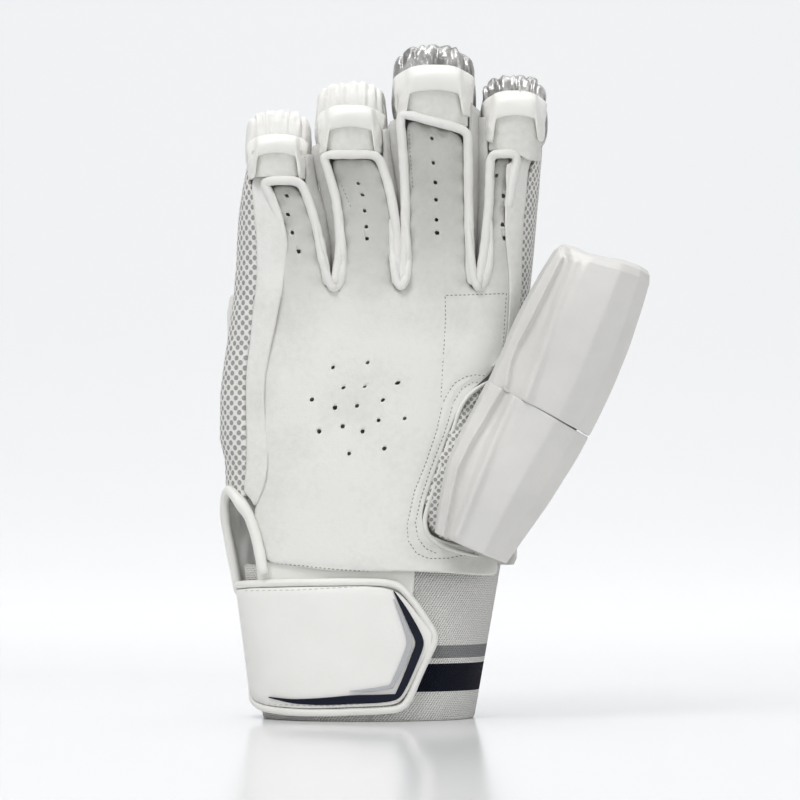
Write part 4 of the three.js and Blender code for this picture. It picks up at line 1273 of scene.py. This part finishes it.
ULNAR_BELLY = (
    (180, 0.0), (240, 0.4), (300, 1.0), (331, 2.2), (366, 4.0),
    (400, 5.2), (440, 5.2), (462, 2.4), (500, 1.0),
)
TIP_EDGE = ((504, 385), (507, 364), (514, 345), (528, 319), (544, 287), (560, 254))
TIP_RIDGE = ((522, 402), (532, 372), (552, 316), (574, 258))
BASE_EDGE = ((441, 533), (447, 502), (455, 467), (468, 441), (498, 393))
BASE_RIDGE = ((455, 533), (469, 497), (490, 445), (510, 402))
PALM_SEAMS = (
    ((445, 296), (506, 294), (503, 345), (500, 378)),
    ((445, 296), (445.4, 321), (442, 375), (440.8, 399)),
    (
        (485.6, 376), (475, 375), (465, 377), (454.6, 383), (449, 391), (444, 400), (442, 405.5),
        (436.4, 431), (426, 461.6), (414.7, 489.7), (407, 524), (408.3, 539.4), (416.6, 552),
        (429, 557), (448.5, 556.7), (475, 551.6),
    ),
    (
        (483, 382), (471.8, 382.6), (461.5, 389), (453.5, 401.5), (449, 417.6), (443.4, 434.8),
        (430.6, 468), (420.4, 498.6), (415.3, 521.6), (418, 537), (425.5, 547), (435.7, 551.6),
    ),
    ((254, 525), (262, 541), (267, 560)),
    ((268, 562), (300, 564), (340, 568), (400, 571)),
    ((325, 248), (329, 270), (333, 290), (343, 292)),
    ((393, 235), (391, 262), (393, 279), (402, 288)),
    ((467, 245), (467, 264), (472, 282), (482, 287)),
    ((340, 181), (346, 196), (352, 210)),
    ((409, 130), (410, 152), (413, 190)),
)
STRAP_SEAMS = (
    ((244, 590), (300, 588), (350, 585), (392, 582)),
    ((392, 582), (404, 605), (422, 638)),
    ((422, 638), (400, 690), (390, 698)),
    ((390, 698), (330, 702), (262, 702)),
)


@dataclass
class Stitching:
    """Sewn lines laid on the pieces that carry them."""

    name: str
    lines: Tuple[Line, ...]
    carriers: Tuple[str, ...]
    pitch: float = 1.9
    length: float = 1.15
    width: float = 0.5
    finish: Finish = THREAD

    def master(self) -> Tuple[Points, List[Tuple[int, ...]]]:
        """One stitch, modelled once.

        Returns:
            Its points in millimetres and its faces.
        """
        bpy.ops.object.select_all(action="DESELECT")
        bpy.ops.mesh.primitive_uv_sphere_add(segments=6, ring_count=4, radius=0.5)
        stitch = bpy.context.active_object
        bpy.ops.object.mode_set(mode="EDIT")
        bpy.ops.mesh.select_all(action="SELECT")
        bpy.ops.transform.rotate(value=math.pi / 2, orient_axis="Y", center_override=(0.0, 0.0, 0.0))
        bpy.ops.transform.resize(value=(self.length, self.width, 0.45 * self.width))
        bpy.ops.object.mode_set(mode="OBJECT")
        points = np.array([vertex.co[:] for vertex in stitch.data.vertices])
        faces = [tuple(face.vertices) for face in stitch.data.polygons]
        bpy.data.objects.remove(stitch)
        return points, faces

    def build(self) -> bpy.types.Object:
        """Lays a stitch at each step of each line.

        Returns:
            All stitches as one piece.
        """
        points, faces = self.master()
        surface = surface_of(self.carriers)
        corners: List[Points] = []
        sides: List[Tuple[int, ...]] = []
        for line in self.lines:
            for place, way in self.steps(picture_line(line)):
                hit, normal = seen_at(surface, *place)
                if hit is None:
                    continue
                ahead = Vector((way[0], 0.0, way[1]))
                ahead = (ahead - normal * ahead.dot(normal)).normalized()
                aside = normal.cross(ahead)
                turn = np.array((ahead[:], aside[:], normal[:]))
                sides += [tuple(index + len(points) * len(corners) for index in face) for face in faces]
                corners.append(points @ turn * MM + np.array(hit[:]))
        mesh = bpy.data.meshes.new(self.name)
        mesh.from_pydata(np.vstack(corners).tolist(), [], sides)
        piece = bpy.data.objects.new(self.name, mesh)
        bpy.context.scene.collection.objects.link(piece)
        Shop.pick(piece)
        bpy.ops.object.shade_smooth()
        Shop.settle(piece, self.finish, "palm_leather")
        return piece

    def steps(self, line: Points) -> List[Tuple[Points, Points]]:
        """Even steps along a line, each with its direction.

        Args:
            line: Corners of the line as x and z in millimetres.

        Returns:
            Place and direction of each step.
        """
        found = []
        lengths = np.linalg.norm(np.diff(line, axis=0), axis=1)
        total = lengths.sum()
        ends = np.concatenate(((0.0,), np.cumsum(lengths)))
        for far in np.arange(self.pitch / 2, total, self.pitch):
            leg = min(int(np.searchsorted(ends, far, side="right")) - 1, len(lengths) - 1)
            way = (line[leg + 1] - line[leg]) / lengths[leg]
            found.append((line[leg] + way * (far - ends[leg]), way))
        return found


@dataclass
class Roll:
    """Turned and rolled edge of the palm leather."""

    name: str
    path: Line
    radius: float = 1.75
    proud: float = 0.3
    pucker: float = 0.18

    def build(self) -> bpy.types.Object:
        """Sweeps a round roll along its path over the palm.

        Returns:
            The finished piece.
        """
        surface = surface_of(("palm_leather_look",))
        curve = bpy.data.curves.new(self.name, "CURVE")
        curve.dimensions = "3D"
        curve.bevel_depth = self.radius * MM
        curve.bevel_resolution = 3
        curve.use_fill_caps = True
        line = picture_line(rounded(self.path))
        spline = curve.splines.new("POLY")
        spline.points.add(len(line) - 1)
        depth = None
        for order, (point, (x, z)) in enumerate(zip(spline.points, line)):
            hit, _ = seen_at(surface, x, z)
            if hit is None:
                near = surface.find_nearest(Vector((x, -30.0, z)) * MM)[0]
                hit = Vector((x * MM, near.y, z * MM))
            depth = hit.y if depth is None else 0.5 * depth + 0.5 * hit.y
            point.co = (x * MM, depth - self.proud * MM, z * MM, 1.0)
            point.radius = min(1.0, 0.45 + 0.07 * min(order, len(line) - 1 - order))
        holder = bpy.data.objects.new(self.name, curve)
        bpy.context.scene.collection.objects.link(holder)
        Shop.pick(holder)
        bpy.ops.object.convert(target="MESH")
        piece = bpy.context.active_object
        piece.name = self.name
        Shop.move_points(piece, lambda at, out: at + out * (self.pucker * ripple(at, 3.0, 2.0))[:, None])
        bpy.ops.object.shade_smooth()
        Shop.settle(piece, TRIM_ROLL, "smooth_trim")
        return piece


def rounded(corners: Line, cuts: int = 6) -> Line:
    """Smooth line through a few corners.

    Args:
        corners: Columns and rows of the line's corners.
        cuts: Steps between two corners.

    Returns:
        The finer line.
    """
    points = [np.array(corner, float) for corner in (corners[0], *corners, corners[-1])]
    found = []
    for a, b, c, d in zip(points[:-3], points[1:-2], points[2:-1], points[3:]):
        for step in range(cuts):
            t = step / cuts
            curve = 2 * b + (c - a) * t + (2 * a - 5 * b + 4 * c - d) * t**2 + (3 * b - a - 3 * c + d) * t**3
            found.append(tuple(curve / 2))
    found.append(tuple(points[-1]))
    return tuple(found)


ROLLS = (
    Roll(
        "fork_little_ring",
        ((316, 222), (320, 250), (327, 275), (333, 288), (340, 283), (343, 268), (343, 248), (342, 225)),
    ),
    Roll(
        "fork_ring_middle",
        ((391, 220), (393, 250), (395, 274), (401, 287), (407, 274), (408, 250), (406, 220)),
    ),
    Roll(
        "fork_middle_index",
        ((468, 222), (470, 250), (473, 277), (479, 288), (486, 277), (490, 255), (490, 222)),
    ),
    Roll(
        "thumb_hole_edge",
        (
            (496, 378), (481, 386), (468, 396), (459, 411), (452, 433), (441, 465),
            (431, 497), (425, 518), (428, 533), (440, 543), (458, 550), (478, 555),
        ),
        radius=0.95,
        proud=0.2,
    ),
)


@dataclass
class Studio:
    """Floor, soft light and the camera of the front view."""

    distance: float = 1.9
    centre_x: float = -0.0141
    centre_z: float = 0.1304
    width: float = 0.328
    air: float = 0.46
    glow: float = 0.39
    tint: Colour = (0.97, 0.985, 1.0)
    floor_size: float = 8.0
    wall_height: float = 5.0
    bend: float = 2.2
    aim_height: float = 0.13

    def build(self) -> None:
        """Makes the floor, the lights and the camera."""
        self.floor()
        self.light("key_light", (-0.6, -0.8, 1.6), 0.8, 14.0)
        self.light("fill_light", (0.75, -1.6, 0.45), 1.2, 6.5)
        self.light("top_light", (0.1, 0.2, 1.6), 1.0, 7.0)
        world = bpy.data.worlds.new("studio_air")
        bpy.context.scene.world = world
        world.use_nodes = True
        sky = world.node_tree.nodes["Background"]
        sky.inputs["Color"].default_value = (*self.tint, 1.0)
        sky.inputs["Strength"].default_value = self.air
        bpy.context.scene.view_settings.view_transform = "Standard"
        self.camera()

    def floor(self) -> None:
        """A wide pale floor that sweeps up behind the glove."""
        bpy.ops.object.select_all(action="DESELECT")
        bpy.ops.mesh.primitive_plane_add(size=self.floor_size, location=(0.0, -1.0, 0.0))
        sweep = bpy.context.active_object
        sweep.name = "floor"
        bpy.ops.object.transform_apply(location=True)
        bpy.ops.object.mode_set(mode="EDIT")
        bpy.ops.mesh.select_mode(type="EDGE")
        bpy.ops.mesh.select_all(action="DESELECT")
        shape = bmesh.from_edit_mesh(sweep.data)
        far = max(shape.edges, key=lambda edge: sum(vertex.co.y for vertex in edge.verts))
        far.select_set(True)
        bmesh.update_edit_mesh(sweep.data)
        bpy.ops.mesh.extrude_region_move(TRANSFORM_OT_translate={"value": (0.0, 0.0, self.wall_height)})
        bpy.ops.mesh.select_all(action="DESELECT")
        shape = bmesh.from_edit_mesh(sweep.data)
        corner = [e for e in shape.edges if all(abs(v.co.z) < 1e-4 and v.co.y > 2.9 for v in e.verts)]
        for edge in corner:
            edge.select_set(True)
        bmesh.update_edit_mesh(sweep.data)
        bpy.ops.mesh.bevel(offset=self.bend, segments=24, affect="EDGES")
        bpy.ops.object.mode_set(mode="OBJECT")
        bpy.ops.object.shade_smooth()
        paint = bpy.data.materials.new("floor_paint")
        paint.use_nodes = True
        tree = paint.node_tree
        shader = tree.nodes["Principled BSDF"]
        shader.inputs["Base Color"].default_value = (0.85, 0.853, 0.857, 1.0)
        shader.inputs["Roughness"].default_value = 0.16
        shader.inputs["Emission Color"].default_value = (*self.tint, 1.0)
        place = tree.nodes.new("ShaderNodeTexCoord")
        parts = tree.nodes.new("ShaderNodeSeparateXYZ")
        rise = tree.nodes.new("ShaderNodeMapRange")
        for socket, value in (("From Min", 0.3), ("From Max", 2.6), ("To Min", 0.0), ("To Max", self.glow)):
            rise.inputs[socket].default_value = value
        tree.links.new(place.outputs["Object"], parts.inputs[0])
        tree.links.new(parts.outputs["Y"], rise.inputs["Value"])
        tree.links.new(rise.outputs["Result"], shader.inputs["Emission Strength"])
        sweep.data.materials.append(paint)

    def light(self, name: str, place: Tuple[float, float, float], size: float, power: float) -> None:
        """A soft square light that faces the glove.

        Args:
            name: Its name.
            place: Its place in metres.
            size: Its side in metres.
            power: Its power in watts.
        """
        data = bpy.data.lights.new(name, "AREA")
        data.size = size
        data.energy = power
        lamp = bpy.data.objects.new(name, data)
        lamp.location = place
        aim = Vector((0.0, 0.0, self.aim_height)) - Vector(place)
        lamp.rotation_mode = "QUATERNION"
        lamp.rotation_quaternion = aim.to_track_quat("-Z", "Y")
        bpy.context.scene.collection.objects.link(lamp)

    def camera(self) -> None:
        """The camera, level with the middle of the glove."""
        data = bpy.data.cameras.new("front_camera")
        data.lens = data.sensor_width * self.distance / self.width
        camera = bpy.data.objects.new("front_camera", data)
        camera.location = (self.centre_x, -self.distance, self.centre_z)
        camera.rotation_euler = (math.radians(90.0), 0.0, 0.0)
        bpy.context.scene.collection.objects.link(camera)
        bpy.context.scene.camera = camera


@dataclass
class Knit:
    """Knitted wristband with its bands of colour."""

    node: str = "wristband"
    round_step: float = 0.04

    def build(self) -> bpy.types.Object:
        """Makes the wristband.

        Returns:
            The finished piece.
        """
        piece = Shop.copy_of(self.node, "wristband_look")
        Shop.crease(piece, degrees=50.0, amount=0.6)
        Shop.round_off(piece, levels=2)
        self.map_weave(piece)
        Shop.settle(piece, KNIT, "knit", self.node)
        return piece

    def map_weave(self, piece: bpy.types.Object) -> None:
        """Gives the band a map of length round it and height, in metres.

        Args:
            piece: The piece.
        """
        layer = piece.data.uv_layers.new(name="weave")
        piece.data.uv_layers.active = layer
        low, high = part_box(self.node)
        middle = (low + high) / 2
        half = (high - low) / 2
        for loop in piece.data.loops:
            place = piece.data.vertices[loop.vertex_index].co
            turn = math.atan2((place.y - middle.y) / half.y, (place.x - middle.x) / half.x)
            turn = turn + 2 * math.pi if turn < 0 and place.x < middle.x else turn
            layer.data[loop.index].uv = (turn * self.round_step, place.z)


def dressed_pieces() -> List[Dressed]:
    """Every CAD node that is carried over by its own shape.

    Returns:
        The pieces in building order.
    """
    pieces = [
        Palm("palm_leather", FRONT_LEATHER, "palm_leather", held=0.6, wave=0.3, pitch=16.0, shortest=1.6),
        Back("back_leather", PALM_LEATHER, "palm_leather", held=0.6, pitch=16.0),
        Strip("ulnar_strip", PALM_LEATHER, "palm_leather"),
        Strip("radial_strip", PALM_LEATHER, "palm_leather", way=-1.0, lap=0.9, raised=9.0),
        Mesh("ulnar_mesh", LEFT_SIDE, "side_cloth", belly=ULNAR_BELLY, trail=8.0),
        Mesh("radial_mesh", RIGHT_SIDE, "side_cloth", way=-1.0),
        Gusset("thumb_gusset", WEB, "side_cloth", wave=0.4, pitch=7.0),
        Dressed("thumb_sleeve", PLAIN_SIDE, "palm_leather", wave=0.5, pitch=9.0),
        ThumbShell("thumb_shell_base", edge=BASE_EDGE, ridge=BASE_RIDGE, push=2.7),
        ThumbShell("thumb_shell_tip", edge=TIP_EDGE, ridge=TIP_RIDGE, pull=7.0, scallop=1.3),
        Dressed("cuff_binding", TRIM, "smooth_trim", wave=0.0),
        VentBinding("vent_binding", TRIM, "smooth_trim", held=0.3, wave=0.25, pitch=5.0),
        Facing("vent_facing", TRIM_ROLL, "side_cloth", levels=3),
        Dressed("strap", STRAP, "smooth_trim", held=0.7, wave=0.12, pitch=20.0),
        Welt("strap_piping", TRIM, held=0.3, wave=0.1, pitch=6.0, grow=0.55),
        Dressed("strap_stripe_dark", NAVY, "dark_stripe", held=0.8, wave=0.0),
        Dressed("strap_stripe_silver", GREY_RIBBON, "silver_cloth", held=0.8, wave=0.0),
        *(Fourchette(f"fourchette_{gap}") for gap in GAPS),
        Pad("wrist_guard", wave=0.5, pitch=12.0, fill=0.8, swell=1.5),
    ]
    for finger in FINGERS:
        tip = (SILVER, "silver_cloth") if finger in ("middle", "index") else (PADDING, "white_padding")
        pieces += [
            Welt(f"welt_{finger}"),
            Patch(f"tip_patch_{finger}", hem=4.5 if finger == "index" else 0.0),
            Hood(f"tip_hood_{finger}"),
            TipRoll(f"tip_pad_{finger}", *tip),
            Pad(f"middle_pad_{finger}"),
            Pad(f"base_pad_{finger}"),
            Pad(f"knuckle_bar_{finger}", wave=0.4, pitch=12.0),
        ]
    return pieces


def sewn_lines() -> List[Stitching]:
    """All lines of stitches.

    Returns:
        The stitch pieces in building order.
    """
    return [
        Stitching("palm_stitches", PALM_SEAMS, ("palm_leather_look",), pitch=1.75),
        Stitching("strap_stitches", STRAP_SEAMS, ("strap_look",), 2.4, 1.7, 0.45, PALE_THREAD),
    ]


def main() -> None:
    """Builds the studio and the glove."""
    logging.basicConfig(level=logging.INFO, format="%(name)s %(message)s")
    Studio().build()
    Knit().build()
    for piece in dressed_pieces():
        piece.build()
    for roll in ROLLS:
        roll.build()
    for line in sewn_lines():
        line.build()


if __name__ == "__main__":
    main()
